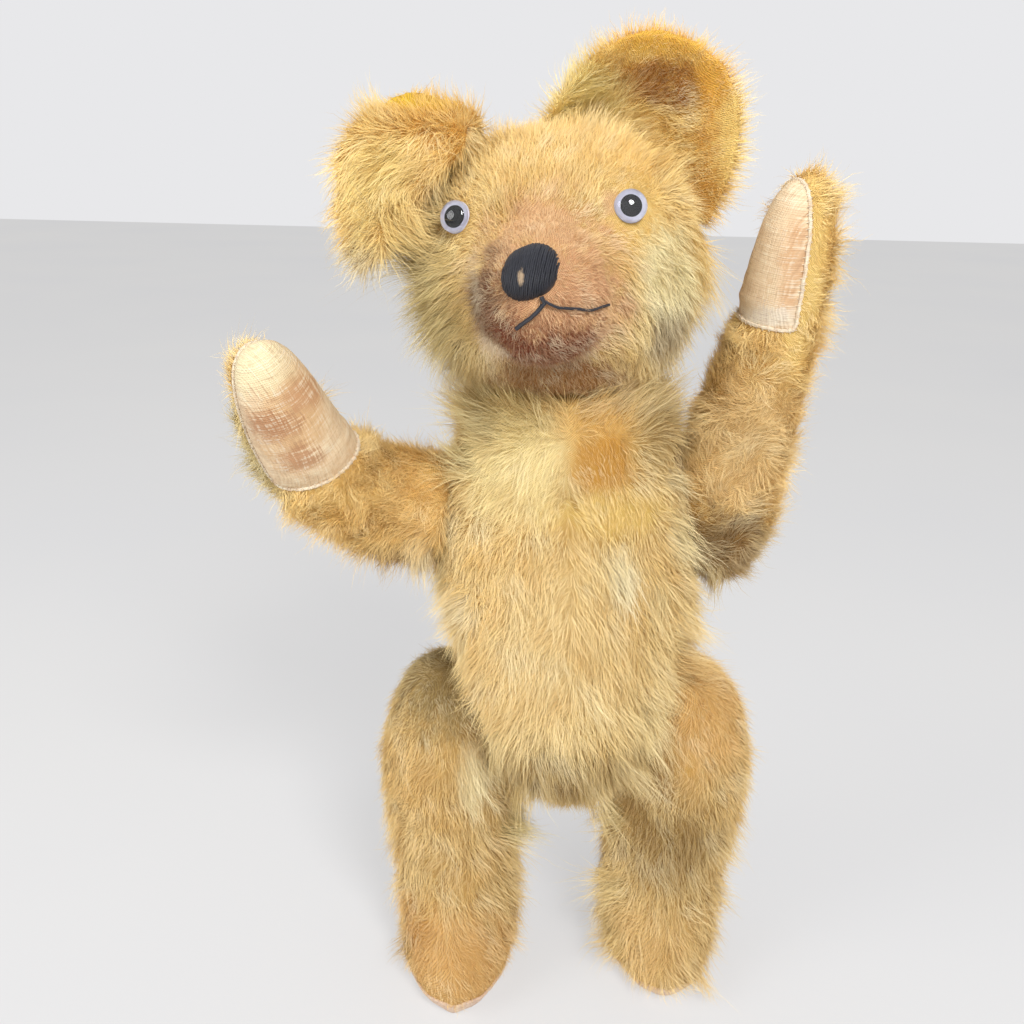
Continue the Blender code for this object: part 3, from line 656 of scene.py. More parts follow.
def coats(name, obj, body, counts, coat, slot, seed, **settings):
    """The long pile, a shorter one between it, the fuzz under both and a few wisps that stand out."""
    finer = {**settings, "Length": 0.8, "Lift": 0.6, "Stray": settings.get("Stray", 0.7) * 1.4}
    fuzz = {**settings, "Length": 0.5, "Lift": 0.9, "Stray": 1.2, "Width": FUZZ_WIDTH}
    grown(f"{name}_pile", obj, body, counts[0], long_hair, coat, slot, seed, **settings)
    grown(f"{name}_short_pile", obj, body, counts[1], short_hair, coat, slot, seed + 1, **finer)
    grown(f"{name}_fuzz", obj, body, counts[2], fuzz_hair, coat, slot, seed + 2, **fuzz)
    wisps = {**settings, "Length": 1.3, "Lift": 0.7, "Stray": 1.0, "Width": WISP_WIDTH, "Wave": 1.5 * MM}
    grown(f"{name}_wisps", obj, body, counts[0] // WISPS_AMONG, long_hair, coat, slot, seed + 3, **wisps)


def pile_finish(name, patches, root_colour, tip_colour, gold, straw, painted_root_shade=0.9):
    """Mohair: darker at the root, partly its own colour and partly painted shade deep in the pile, paler at
    the tip, each hair a little different, with the patches.
    """
    material, graph, _ = new_finish(name)
    root_at = graph.node("ShaderNodeAttribute", {"attribute_name": "root"}, {})["Vector"] * 1000.0
    along_hair = graph.node("ShaderNodeAttribute", {"attribute_name": "along"}, {})["Fac"]
    chance = graph.node(
        "ShaderNodeSeparateXYZ", {},
        {"Vector": graph.node("ShaderNodeAttribute", {"attribute_name": "luck"}, {})["Vector"]},
    )
    broad = graph.step(graph.noise(root_at, 34.0, 2.0), 0.4, 0.62)
    small = graph.step(graph.noise(root_at, 9.0, 3.0), 0.38, 0.66)
    tip = graph.mix(broad * 0.7, tip_colour, gold)
    tip = graph.mix(small * 0.5, tip, straw)
    tip = patched(graph, root_at, tip, patches)
    # The longer tufts are painted paler, as painted light, and the short pile between them darker, as
    # painted shade.
    tufts = graph.noise(root_at, 12.0, 3.0, 0.6)
    painted_tuft_light = graph.mix(0.42, tip, dyed(255, 247, 214))
    tip = graph.mix(graph.step(tufts, 0.5, 0.66) * 0.75, tip, painted_tuft_light)
    painted_shade_between_tufts = graph.step(1.0 - tufts, 0.5, 0.66)
    tip = graph.mix(painted_shade_between_tufts * 0.5, tip, graph.mix(1.0, tip, (0.74, 0.62, 0.44, 1.0), "MULTIPLY"))
    # Near the root the hair takes its deeper root colour, darkened further by a factor as painted shade
    # deep in the pile.
    low = graph.mix(0.3, tip, root_colour)
    low = graph.mix(1.0, low, (painted_root_shade, painted_root_shade, painted_root_shade, 1.0), "MULTIPLY")
    colour = graph.mix(graph.step(along_hair, -0.2, 0.6), low, tip)
    colour = graph.mix(chance["X"] * 0.32, colour, graph.mix(0.75, colour, dyed(255, 242, 204)))
    colour = graph.mix(chance["Y"] * chance["Y"] * 0.4, colour, graph.mix(0.6, colour, root_colour))
    lit(graph, colour, 0.55 + 0.2 * chance["Z"], None, constants={"Specular IOR Level": 0.28})
    return material


def backing_finish(name, patches, base, shade):
    """The woven cotton that the pile is rooted in, seen where the pile is worn away."""
    material, graph, place = new_finish(name)
    pulled = place + graph.noise(place, 8.0) * (2.0, 2.0, 2.0)
    parts = graph.node("ShaderNodeSeparateXYZ", {}, {"Vector": pulled})
    warp = graph.maths("SINE", parts["X"] * 7.0 + parts["Y"] * 5.0)
    weft = graph.maths("SINE", parts["Z"] * 7.5)
    weave = warp * weft * 0.5 + 0.5
    worn = graph.step(graph.noise(place, 12.0, 4.0), 0.35, 0.68)
    colour = graph.mix(worn, base, shade)
    colour = patched(graph, place, colour, patches)
    colour = graph.mix(1.0 - weave, colour, graph.mix(1.0, colour, (0.5, 0.42, 0.34, 1.0), "MULTIPLY"))
    lit(graph, colour, 0.85, weave, 0.25)
    return material


BODY_PATCHES = (
    # Painted light on the upper chest, on the bear's right, where the head's shade falls.
    Patch((-8, -12, 264), (30, 30, 26), (255, 238, 176), 0.96),
    Patch((28, -18, 278), (18, 22, 12), (244, 198, 112), 0.65, 0.6, 0.9),
    Patch((27, -16, 264), (14, 22, 12), (214, 156, 54), 0.8, 0.4, 0.65),
    Patch((36, -20, 243), (28, 20, 10), (255, 224, 128), 0.6, 0.65, 0.85),
    Patch((56, -6, 277), (16, 30, 20), (190, 162, 102), 0.8, 0.9),
    # Painted shade in the slot between the body and the top of its left arm.
    Patch((66, 5, 258), (7, 20, 12), (130, 92, 50), 0.7, 0.6),
    # A painted highlight over the middle of the belly.
    Patch((12, -34, 182), (36, 30, 46), (255, 232, 172), 0.55),
    # Painted shade on the lower belly, above the tops of the legs.
    Patch((14, -28, 120), (44, 30, 22), (168, 134, 66), 0.82),
    # Matted locks on the shoulders, the belly and its hem.
    Patch((38, -23, 218), (7, 14, 12), (255, 248, 214), 0.8, 1.5, tip=(2, -10, -22)),
    Patch((54, -16, 204), (6, 14, 11), (255, 238, 184), 0.7, 1.5, tip=(4, -8, -20)),
    Patch((-30, -6, 196), (9, 18, 9), (255, 246, 210), 0.8, 1.6, tip=(-12, -10, -14)),
    Patch((-18, 2, 274), (9, 18, 9), (214, 200, 150), 0.6, 1.7, tip=(-16, -6, 12)),
    Patch((-26, 4, 258), (6, 14, 7), (206, 194, 146), 0.6, 1.8, tip=(-14, -4, 14)),
    Patch((60, -4, 254), (5, 14, 5), (255, 246, 206), 0.6, 1.6, tip=(12, -10, -8)),
    Patch((63, -4, 228), (6, 14, 12), (255, 246, 204), 0.75, 1.9, tip=(12, -6, -22)),
    Patch((64, 2, 190), (7, 16, 12), (250, 232, 180), 0.5, 1.6, tip=(14, -4, -14)),
    Patch((66, 2, 168), (6, 14, 8), (226, 184, 112), 0.6, 1.9, tip=(18, -4, -2)),
    Patch((53, -19, 148), (7, 14, 12), (255, 240, 190), 0.6, 1.7, tip=(4, -8, -20)),
    Patch((46, -18, 130), (6, 12, 9), (244, 222, 160), 0.5, 2, tip=(5, -6, -18)),
    Patch((32, -24, 116), (6, 12, 8), (236, 212, 150), 0.5, 2.4, tip=(2, -4, -22)),
    Patch((-14, -10, 136), (9, 14, 12), (246, 230, 176), 0.5, 1.6, tip=(6, -8, -20)),
    Patch((0, -16, 112), (9, 12, 8), (206, 180, 116), 0.5, 2, tip=(-3, -6, -18)),
    Patch((19, -27, 117), (7, 12, 8), (150, 118, 64), 0.6, 0.5),
)
STRAW_ROOT = dyed(156, 116, 54)
straw_pile = pile_finish("straw_pile", BODY_PATCHES, STRAW_ROOT, dyed(252, 226, 160), dyed(246, 206, 122),
                         dyed(238, 216, 154))
straw_backing = backing_finish("straw_backing", BODY_PATCHES, dyed(226, 188, 114), dyed(202, 162, 90))


def rubbed(points, facings, joint_at, towards, inner, outer):
    """0 where the cloth rubs on its neighbour round a joint, and 1 where it doesn't."""
    away = eased(distance(points, joint_at), inner, outer)
    turned = eased(facings @ np.array(towards), 0.3, 0.75)
    return 1.0 - (1.0 - away) * turned


NECK_AT = (14.33, 20.03, 291.0)
SHOULDERS = {"left": (67.62, 20.03, 232.0), "right": (-35.38, 20.03, 232.0)}
HIPS = {"left": (53.94, 20.03, 125.0), "right": (-12.07, 20.03, 125.0)}

JOINT_PARTS = ("disc_inner", "washer_inner")
torso = skin_of(
    "body_skin", ["body_cover", "body_stuffing"] + [f"{j}_{p}" for j in JOINTS for p in JOINT_PARTS], 3.0
)
plumped(torso, [NECK_AT, *SHOULDERS.values(), *HIPS.values()], 2.0)
points, facings = points_of(torso.data)
midline = 22.33 - 0.045 * (points[:, 2] - 94.0)
out = (points[:, 0] - midline) / 55.0
height = points[:, 2]
chest = eased(height, 215.0, 262.0)
front = eased(-points[:, 1], -20.0, 15.0)
on_breast = chest * front
comb_x = out * (0.35 + 0.3 * eased(-height, -200.0, -120.0))
comb_x = comb_x - on_breast * 0.55 * eased(-out, -0.1, 0.5) + on_breast * 0.25 * eased(out, 0.0, 0.6)
along_seam = front * eased(height, 150.0, 215.0)
parted = bell(points[:, 0] - midline, 9.0) * np.sign(out) * along_seam
comb_x = comb_x + 0.3 * cloudy(points, 38.0, 11) + 0.9 * parted
ways = np.stack([comb_x, -0.1 * front, -1.0 + 0.3 * cloudy(points, 26.0, 13)], 1)
# Round the neck the pile stands out as a ruff.
collar = eased(height, 266.0, 280.0)
from_neck = unit((points - np.array(NECK_AT)) * (1.0, 1.0, 0.0))
ways = ways + collar[:, None] * (0.9 * from_neck + (0.0, 0.0, 2.2))
pile = 10.5 + 4.0 * eased(-height, -235.0, -170.0) - 8.0 * eased(-height, -128.0, -100.0)
pile = pile + (4.0 + 6.0 * front) * collar
pile = pile * (1.0 + 0.22 * cloudy(points, 17.0, 12)) * (1.0 - 0.2 * eased(points[:, 1], 10.0, 45.0))
long, thick = left_of_pile(points, BODY_PATCHES)
in_seam = bell(points[:, 0] - midline, 2.6) * along_seam
thick = thick * (1.0 - 0.5 * in_seam)
set_points(torso.data, points - facings * (1.2 * in_seam)[:, None])
for joint_side, outside in (("left", 1.0), ("right", -1.0)):
    thick = thick * rubbed(points, facings, SHOULDERS[joint_side], (outside, 0.0, 0.0), 15.0, 22.0)
    thick = thick * rubbed(points, facings, HIPS[joint_side], (outside, 0.0, 0.0), 18.0, 27.0)
thick = thick * rubbed(points, facings, NECK_AT, (0.0, 0.0, 1.0), 19.0, 26.0)
ways = gathered(points, ways, BODY_PATCHES)
comb_over(torso, unit(ways), pile * long, thick)
BODY_HAIRS = (17000, 17000, 48000)
coats("body", torso, "torso", BODY_HAIRS, straw_pile, "straw_mohair", 21)
fitted(torso, straw_backing, "torso", ["body_cover"])


# ---------------------------------------------------------------- head
# The head is stuffed hard and leans towards the bear's right. Its pile lies away from the nose. The
# muzzle's is short, curly and rubbed to a reddish brown.
head_lie = Matrix.Rotation(math.radians(-5.5), 3, "Y") @ Matrix.Rotation(math.radians(-10.0), 3, "Z")


def from_head(x, y, z):
    """A point that is given from the neck, in the head's own tilt, as a point of the bear."""
    return tuple(head_lie @ Vector((x, y, z)) + Vector(NECK_AT))


def head_patch(x, y, z, *rest, **named):
    return Patch(from_head(x, y, z), *rest, **named)


HEAD_PATCHES = (
    # The bear's right cheek is olive and darker: partly its own tone, partly painted shade on the shaded
    # side under the flopped ear.
    head_patch(-50, -22, 38, (24, 36, 36), (188, 170, 110), 0.8),
    # Painted light on the bear's left cheek, the lit side of the face: a golden place by the eye, where the
    # pile is also rubbed short, and a pale tuft below it, made paler as painted light.
    head_patch(36, -40, 60, (17, 26, 20), (255, 218, 128), 0.75, 0.6, 0.9),
    head_patch(44, -30, 44, (16, 28, 20), (255, 246, 198), 0.9),
    head_patch(56, -12, 52, (6, 16, 13), (255, 224, 142), 0.7, 2.3, tip=(5, -8, -34)),
    head_patch(-49, -20, 65, (9, 18, 15), (204, 170, 96), 0.5, 2.1, tip=(-15, -6, -3)),
    head_patch(45, -10, 84, (8, 14, 9), (252, 216, 124), 0.6, 1.6, tip=(12, -8, 12)),
    head_patch(34, -26, 86, (14, 22, 12), (250, 208, 112), 0.6, 0.7, 0.9),
    head_patch(4, -30, 94, (34, 26, 16), (250, 214, 136), 0.6, 0.65, 0.95),
    head_patch(46, -28, 22, (11, 26, 14), (178, 160, 130), 0.85),
    head_patch(4, -66, 42, (33, 36, 32), (226, 174, 130), 0.95, 0.38, 1),
    head_patch(2, -58, 68, (19, 17, 16), (226, 182, 134), 0.9, 0.4, 1),
    head_patch(-17, -68, 38, (16, 22, 24), (94, 44, 8), 0.88, 0.9),
    head_patch(4, -74, 20, (30, 26, 20), (126, 48, 4), 0.92, 0.8),
    # Under the chin the brown darkens: the rubbed reddish brown with painted shade beneath the head.
    head_patch(2, -48, 6, (34, 28, 17), (134, 74, 30), 0.9, 0.6),
    head_patch(-20, -58, 26, (7, 14, 6), (250, 230, 196), 0.75, 1.8),
    head_patch(26, -44, 73, (4, 12, 4.5), (232, 184, 150), 0.5, 0.5, 0.8),
    # Painted shade under the head, over the short brown pile of the throat.
    head_patch(2, -38, 0, (44, 34, 15), (172, 120, 58), 0.75, 0.7),
)
head_pile = pile_finish("head_pile", HEAD_PATCHES, STRAW_ROOT, dyed(250, 220, 144), dyed(248, 206, 116),
                        dyed(234, 208, 142))
head_backing = backing_finish("head_backing", HEAD_PATCHES, dyed(226, 188, 114), dyed(202, 162, 90))

head = skin_of("head_skin", ["head_cover", "head_stuffing", "neck_disc_outer", "neck_washer_outer"], 3.0)
plumped(head, [NECK_AT], 1.5)
points, facings = points_of(head.data)
turn_back = np.array(head_lie)
own = (points - np.array(NECK_AT)) @ turn_back
own_x, own_y, own_z = own.T
from_nose = unit(own - np.array((2.0, -86.0, 54.0)))
behind = eased(own_y, -15.0, 15.0)
brow = eased(own_z, 64.0, 84.0) * (1.0 - behind)
cheek_right = eased(-own_x, 16.0, 38.0) * (1.0 - brow) * (1.0 - 0.6 * behind)
cheek_left = eased(own_x, 18.0, 38.0) * (1.0 - brow) * (1.0 - 0.6 * behind)
tuck = eased(-own_z, -58.0, -18.0)
ways = from_nose * (1.0 - 0.7 * np.maximum(cheek_right, cheek_left))[:, None]
ways = ways + brow[:, None] * (own[:, :1] * (0.014, 0.0, 0.0) + (0.0, 0.2, 0.9))
ways = ways + cheek_right[:, None] * (-0.65, 0.0, -0.8)
ways = ways + cheek_left[:, None] * (tuck[:, None] * (-1.1, -0.25, 0.0) + (0.35, 0.15, -0.9))
ways = ways + behind[:, None] * (0.0, 0.3, -1.2)
fluffed = np.maximum(eased(-own_x, 30.0, 50.0), 0.5 * eased(own_x, 38.0, 56.0)) * (1.0 - brow)
ways = ways + 0.8 * (fluffed * (1.0 - 0.5 * behind))[:, None] * (facings @ turn_back)
ways = ways + 0.3 * swirls(own, 26.0, (31, 32, 33))
# Tufts close the gap beside the flopped ear and cover the root of the upright one.
by_flop = bell(distance(own, (-32.0, -8.0, 99.0)), 13.0)
by_upright = bell(distance(own, (24.0, -8.0, 102.0)), 15.0)
ways = ways + by_flop[:, None] * (-0.6, -0.3, 0.9) + by_upright[:, None] * (0.5, -0.1, 1.1)
pile = 8.5 + 9.0 * eased(-own_x, 28.0, 46.0) * eased(-own_z, -88.0, -70.0) * (1.0 - 0.6 * behind)
pile = pile * (1.0 + 0.9 * by_flop + 0.8 * by_upright)
pile = pile + 4.0 * eased(own_x, 34.0, 54.0) * eased(-own_z, -60.0, -30.0)
pile = pile * (1.0 + 0.15 * cloudy(own, 22.0, 34))
long, thick = left_of_pile(points, HEAD_PATCHES)
thick = thick * rubbed(points, facings, NECK_AT, (0.0, 0.0, -1.0), 20.0, 30.0)
nose_middle = np.array((1.5, -81.5, 54.5))
EYES_AT = ((-32.0, 70.5), (32.5, 70.5))
thick = thick * eased(distance(own, nose_middle, (9.8, 9.0, 9.2)), 0.9, 1.25)
for eye_x, eye_z in EYES_AT:
    from_eye = np.hypot(own_x - eye_x, own_z - eye_z)
    thick = thick * np.where(own_y < -20.0, eased(from_eye, 5.5, 8.5), 1.0)
    pile = pile * (0.45 + 0.55 * eased(from_eye, 8.0, 16.0))
ways = gathered(points, unit(ways) @ turn_back.T, HEAD_PATCHES)
comb_over(head, unit(ways), pile * long, thick)
HEAD_HAIRS = (19500, 19000, 44000)
coats("head", head, "head", HEAD_HAIRS, head_pile, "straw_mohair", 41, Stray=0.75, Lift=0.36)
fitted(head, head_backing, "head", ["head_cover"])


# ---------------------------------------------------------------- ears
# Each ear is two layers of golden mohair sewn round the rim and bent into a cup. The bear's left one
# stands up, and its right one has flopped over forwards.
EAR_LEFT_PATCHES = (
    head_patch(30, 8, 108, (34, 30, 34), (255, 224, 128), 0.5),
    # Painted shade in the ear's cup, brown and darkest in its middle.
    head_patch(38, 7, 112, (22, 13, 11), (196, 130, 34), 0.85, 0.8),
    head_patch(45, 7, 107, (13, 13, 14), (150, 88, 10), 0.9, 0.8),
    head_patch(44, 8, 131, (30, 22, 8), (255, 204, 80), 0.85),
    head_patch(64, 10, 116, (8, 22, 18), (250, 196, 80), 0.8),
    head_patch(70, 10, 92, (8, 22, 20), (255, 226, 138), 0.9),
    head_patch(12, 8, 106, (16, 24, 20), (255, 238, 162), 0.95),
)
EAR_RIGHT_PATCHES = (
    head_patch(-54, -12, 115, (27, 12, 6), (248, 208, 44), 0.9, 0.3, 0.4),
    head_patch(-46, -8, 115, (8, 10, 6), (228, 184, 100), 0.7, 1.7, 1, (2, 0, 18)),
    head_patch(-72, -34, 56, (10, 12, 10), (226, 214, 180), 0.8),
    head_patch(-62, -32, 84, (18, 16, 22), (255, 236, 158), 0.65),
    head_patch(-54, -36, 68, (9, 14, 15), (224, 184, 104), 0.5, 1.8, 1, (14, 3, -8)),
    head_patch(-48, -22, 74, (9, 20, 24), (196, 150, 76), 0.6),
)
EAR_MIDDLES = {"left": (29.0, 6.0, 83.0), "right": (-36.0, 0.0, 86.0)}
EARS = {"left": EAR_LEFT_PATCHES, "right": EAR_RIGHT_PATCHES}
EAR_HAIRS = (4500, 4000, 11000)
for number, (side_name, ear_patches) in enumerate(EARS.items()):
    gold_pile = pile_finish(f"ear_{side_name}_pile", ear_patches, dyed(190, 140, 66), dyed(255, 226, 146),
                            dyed(252, 208, 108), dyed(250, 226, 156), 0.92)
    gold_backing = backing_finish(f"ear_{side_name}_backing", ear_patches, dyed(232, 180, 88),
                                  dyed(210, 156, 70))
    layers = [f"ear_{side_name}_front", f"ear_{side_name}_back"]
    ear = skin_of(f"ear_{side_name}_skin", layers, 1.6, 3)
    points, facings = points_of(ear.data)
    own = (points - np.array(NECK_AT)) @ turn_back
    own_x, own_z = own[:, 0], own[:, 2]
    own_facings = facings @ turn_back
    outward = own - np.array(EAR_MIDDLES[side_name])
    if side_name == "left":
        # Its cup opens forwards. The front is rubbed short, and most of all in a band along the rim.
        widthways = unit(np.array((52.0, 8.0, -32.0)))
        upwards = unit(np.array((0.52, 0.07, 0.85)))
        from_root = np.hypot(outward @ widthways / 38.0, outward @ upwards / 57.0)
        rim = eased(from_root, 0.9, 1.0)
        inside = eased(-own_facings[:, 1], -0.1, 0.3) * (1.0 - rim)
        band = inside * eased(from_root, 0.62, 0.78) * eased(own_x, 14.0, 34.0)
        ear_pile = 8.0 + 2.0 * rim - 2.5 * inside
        ear_pile = ear_pile * (1.0 - 0.6 * band)
        # Fluff from its near side hangs into the cup.
        fluff_in = eased(-own_x, -36.0, -22.0) * eased(-own_z, -124.0, -110.0) * inside
        ear_pile = ear_pile + 8.0 * fluff_in
        bald = 1.0 - 0.35 * band
        ways = unit(outward) + inside[:, None] * (0.5, -0.1, -0.1) + fluff_in[:, None] * (1.1, -0.8, 0.3)
    else:
        ways = 0.6 * unit(outward) + (-0.3, -0.15, -0.9)
        ridge = eased(own_z, 96.0, 110.0)
        ways = ways + ridge[:, None] * (0.1, 0.0, 1.0)
        ear_pile = np.full(len(points), 11.5)
        bald = np.ones(len(points))
    ways = ways + 0.3 * swirls(points, 20.0, (51 + number, 61 + number, 71 + number))
    long, thick = left_of_pile(points, ear_patches)
    ways = gathered(points, unit(ways) @ turn_back.T, ear_patches)
    comb_over(ear, unit(ways), ear_pile * long, thick * bald)
    coats(f"ear_{side_name}", ear, "head", EAR_HAIRS, gold_pile, "gold_mohair", 81 + 4 * number)
    fitted(ear, gold_backing, "head", layers)


# ---------------------------------------------------------------- eyes
# The eyes are 12 mm clear glass domes. Each has a large black pupil and a pale lilac-grey lacquered
# back, and is sewn in on a wire shank.
clear_glass, graph, place = new_finish("clear_glass")
smears = graph.noise(place, 4.0, 3.0)
lit(graph, dyed(250, 252, 255), 0.02 + 0.04 * graph.step(smears, 0.5, 0.8), None,
    constants={"Transmission Weight": 1.0, "IOR": 1.5, "Specular IOR Level": 0.3})
eye_lacquer, graph, place = new_finish("eye_lacquer")
mottled = graph.noise(place, 1.6, 3.0)
lit(graph, graph.mix(mottled, dyed(172, 170, 192), dyed(216, 216, 228)), 0.3 + 0.1 * mottled)
eye_black, graph, place = new_finish("eye_black")
dust = graph.step(graph.noise(place, 0.8, 3.0), 0.55, 0.8)
lit(graph, graph.mix(dust * 0.3, dyed(4, 4, 6), dyed(20, 20, 28)), 0.5 + 0.2 * dust, None,
    constants={"Specular IOR Level": 0.2})


def lathed(name, middle_at, axis, profile, turns=40):
    """A round piece: the profile's (radius, height) pairs turned about the axis."""
    bm = bmesh.new()
    rings = []
    for radius, rise in profile:
        if radius < 1e-6:
            rings.append([bm.verts.new((0.0, 0.0, rise * MM))])
            continue
        rings.append([
            bm.verts.new((radius * MM * math.cos(2.0 * math.pi * turn / turns),
                          radius * MM * math.sin(2.0 * math.pi * turn / turns), rise * MM))
            for turn in range(turns)
        ])
    for low, high in zip(rings, rings[1:]):
        for turn in range(turns):
            after = (turn + 1) % turns
            corners = [low[turn % len(low)], low[after % len(low)], high[after % len(high)],
                       high[turn % len(high)]]
            face = list(dict.fromkeys(corners))
            if len(face) > 2:
                bm.faces.new(face)
    bmesh.ops.recalc_face_normals(bm, faces=bm.faces)
    lie = Vector(axis).to_track_quat("Z", "Y").to_matrix().to_4x4()
    bmesh.ops.transform(bm, matrix=Matrix.Translation(Vector(middle_at)) @ lie, verts=bm.verts)
    mesh = bpy.data.meshes.new(name)
    bm.to_mesh(mesh)
    bm.free()
    mesh.shade_smooth()
    return placed(name, mesh)


def middle_of(node):
    low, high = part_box(node)
    return (low + high) / 2.0


EYE_RADIUS = 6.0
DOME_FOOT = 1.1
DOME_RISE = 3.6
DOME_RISES = [math.radians(step) for step in range(9, 90, 9)]
for side_name in ("left", "right"):
    # The eye's axis runs from its flat back to the middle of its dome.
    back_at = middle_of(f"eye_{side_name}_back")
    shank = points_of(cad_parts[f"eye_{side_name}_shank"].data)[0].mean(axis=0)
    axis = (back_at - Vector(shank) * MM).normalized()
    dome = [(0.0, -0.3), (3.0, -0.3), (5.5, -0.3), (5.9, 0.2), (EYE_RADIUS, DOME_FOOT)]
    dome += [(EYE_RADIUS * math.cos(rise), DOME_FOOT + DOME_RISE * math.sin(rise)) for rise in DOME_RISES]
    dome.append((0.0, DOME_FOOT + DOME_RISE))
    glass = lathed(f"eye_{side_name}_dome", back_at, axis, dome)
    pupil_disc = [(0.0, 0.0), (3.1, 0.0), (3.35, 0.1), (3.35, 0.2), (3.1, 0.3), (0.0, 0.35)]
    pupil = lathed(f"eye_{side_name}_iris", back_at, axis, pupil_disc)
    ring = lathed(f"eye_{side_name}_ring", back_at, axis,
                  [(0.0, -0.9), (5.6, -0.9), (6.05, -0.6), (6.05, -0.05), (5.7, 0.05), (0.0, 0.05)])
    fitted(glass, clear_glass, "head", [f"eye_{side_name}_glass"])
    fitted(pupil, eye_black, "head", [f"eye_{side_name}_pupil"])
    fitted(ring, eye_lacquer, "head", [f"eye_{side_name}_back"])
    dress_node(f"eye_{side_name}_shank", dull_steel)


# ---------------------------------------------------------------- nose and mouth
# The nose is a felt ball wrapped in black pearl thread from top to bottom, with a worn spot on it.
# Two single stitches of the same thread make the crooked mouth.
pearl_thread, graph, place = new_finish("pearl_thread")
plies = graph.maths("SINE", graph.vector("DOT_PRODUCT", place, (5.0, 2.0, 9.0)) * 1.4) * 0.5 + 0.5
fluff = graph.noise(place, 1.2, 4.0)
worn_off = 1.0 - graph.step(
    graph.vector("LENGTH", (place - from_head(-0.6, -88.0, 54.0)) / (1.1, 6.0, 2.6))
    + fluff * 1.2 - 0.6, 0.6, 1.2,
)
thread_colour = graph.mix(fluff, dyed(14, 15, 20), dyed(52, 54, 64))
lit(graph, graph.mix(worn_off * 0.75, thread_colour, dyed(206, 178, 144)), 0.4 + 0.2 * fluff, plies, 0.15)

nose_core = lathed("nose_core", (0.0, 0.0, 0.0), (0.0, 0.0, 1.0),
                   [(math.sin(math.radians(t)), -math.cos(math.radians(t))) for t in range(0, 181, 15)], 24)
core_points = points_of(nose_core.data)[0] * (9.3, 6.4, 8.8)
core_points = (core_points + nose_middle) @ turn_back.T + np.array(NECK_AT)
set_points(nose_core.data, core_points)
nose_core.data.materials.append(pearl_thread)
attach(nose_core, "head")

stitching = Maker("stitching", {
    "Lines": "Geometry", "Thread Radius": "Float", "Sides": "Int", "Unevenness": "Float", "Seed": "Int",
    "Thread": "Material",
})
graph = stitching.graph
given = graph.node("NodeGroupInput", {}, {})
lines = graph.node("GeometryNodeMeshToCurve", {}, {"Mesh": given["Lines"]})[0]
wobble = graph.node(
    "FunctionNodeRandomValue", {"data_type": "FLOAT_VECTOR"},
    {0: (-1.0, -1.0, -1.0), 1: (1.0, 1.0, 1.0), "Seed": given["Seed"]},
)[0]
lines = graph.node(
    "GeometryNodeSetPosition", {}, {"Geometry": lines, "Offset": wobble * given["Unevenness"]}
)[0]
ring_profile = graph.node(
    "GeometryNodeCurvePrimitiveCircle", {}, {"Resolution": given["Sides"], "Radius": given["Thread Radius"]}
)["Curve"]
tubes = graph.node(
    "GeometryNodeCurveToMesh", {}, {"Curve": lines, "Profile Curve": ring_profile, "Fill Caps": True}
)[0]
tubes = graph.node("GeometryNodeRealizeInstances", {}, {"Geometry": tubes})[0]
tubes = graph.node("GeometryNodeSetShadeSmooth", {}, {"Geometry": tubes})[0]
tubes = graph.node("GeometryNodeSetMaterial", {}, {"Geometry": tubes, "Material": given["Thread"]})[0]
graph.node("NodeGroupOutput", {}, {"Made": tubes})


def laid_threads(name, runs, radius, sides, uneven, seed, thread, body):
    """Tubes of thread along these runs of points, given in millimetres."""
    mesh = bpy.data.meshes.new(name)
    corners, edges = [], []
    for run in runs:
        first = len(corners)
        corners += [tuple(np.array(point) * MM) for point in run]
        edges += [(first + step, first + step + 1) for step in range(len(run) - 1)]
    mesh.from_pydata(corners, edges, [])
    obj = placed(name, mesh)
    stitching.put_on(obj, {
        "Thread Radius": radius * MM, "Sides": sides, "Unevenness": uneven * MM, "Seed": seed,
        "Thread": thread,
    })
    settled(obj)
    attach(obj, body)
    return obj


PEARL_THREAD = 0.46
SEWING_THREAD = 0.19
NOSE_RADII = (9.8, 6.8, 9.2)
NOSE_TURNS = 27
nose_runs = []
for turn in range(NOSE_TURNS):
    share = -1.0 + 2.0 * (turn + 0.5) / NOSE_TURNS
    slim = math.sqrt(1.0 - share * share)
    run = []
    for step in range(15):
        angle = math.radians(-104.0 + 208.0 * step / 14.0)
        lean = 0.24 * math.sin(angle)
        run.append(from_head(
            nose_middle[0] + NOSE_RADII[0] * (share * 0.97 + lean * slim),
            nose_middle[1] - NOSE_RADII[1] * slim * math.cos(angle),
            nose_middle[2] + NOSE_RADII[2] * slim * math.sin(angle),
        ))
    nose_runs.append(run)
nose = laid_threads("nose_threads", nose_runs, PEARL_THREAD, 6, 0.14, 7, pearl_thread, "head")
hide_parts("nose_stitching")


def on_muzzle(x, z, proud):
    """The point of the head's cloth straight behind this width and height, raised by proud."""
    start = Vector(from_head(x, -130.0, z)) * MM
    way = head_lie @ Vector((0.0, 1.0, 0.0))
    _, at, facing, _ = head.ray_cast(start, way)
    return tuple((at + facing * proud * MM) / MM)


def mouth_run(path, proud):
    run = []
    for (x0, z0), (x1, z1) in zip(path, path[1:]):
        for part in (0.0, 0.25, 0.5, 0.75):
            run.append(on_muzzle(x0 + (x1 - x0) * part, z0 + (z1 - z0) * part, proud))
    run.append(on_muzzle(*path[-1], proud))
    return run


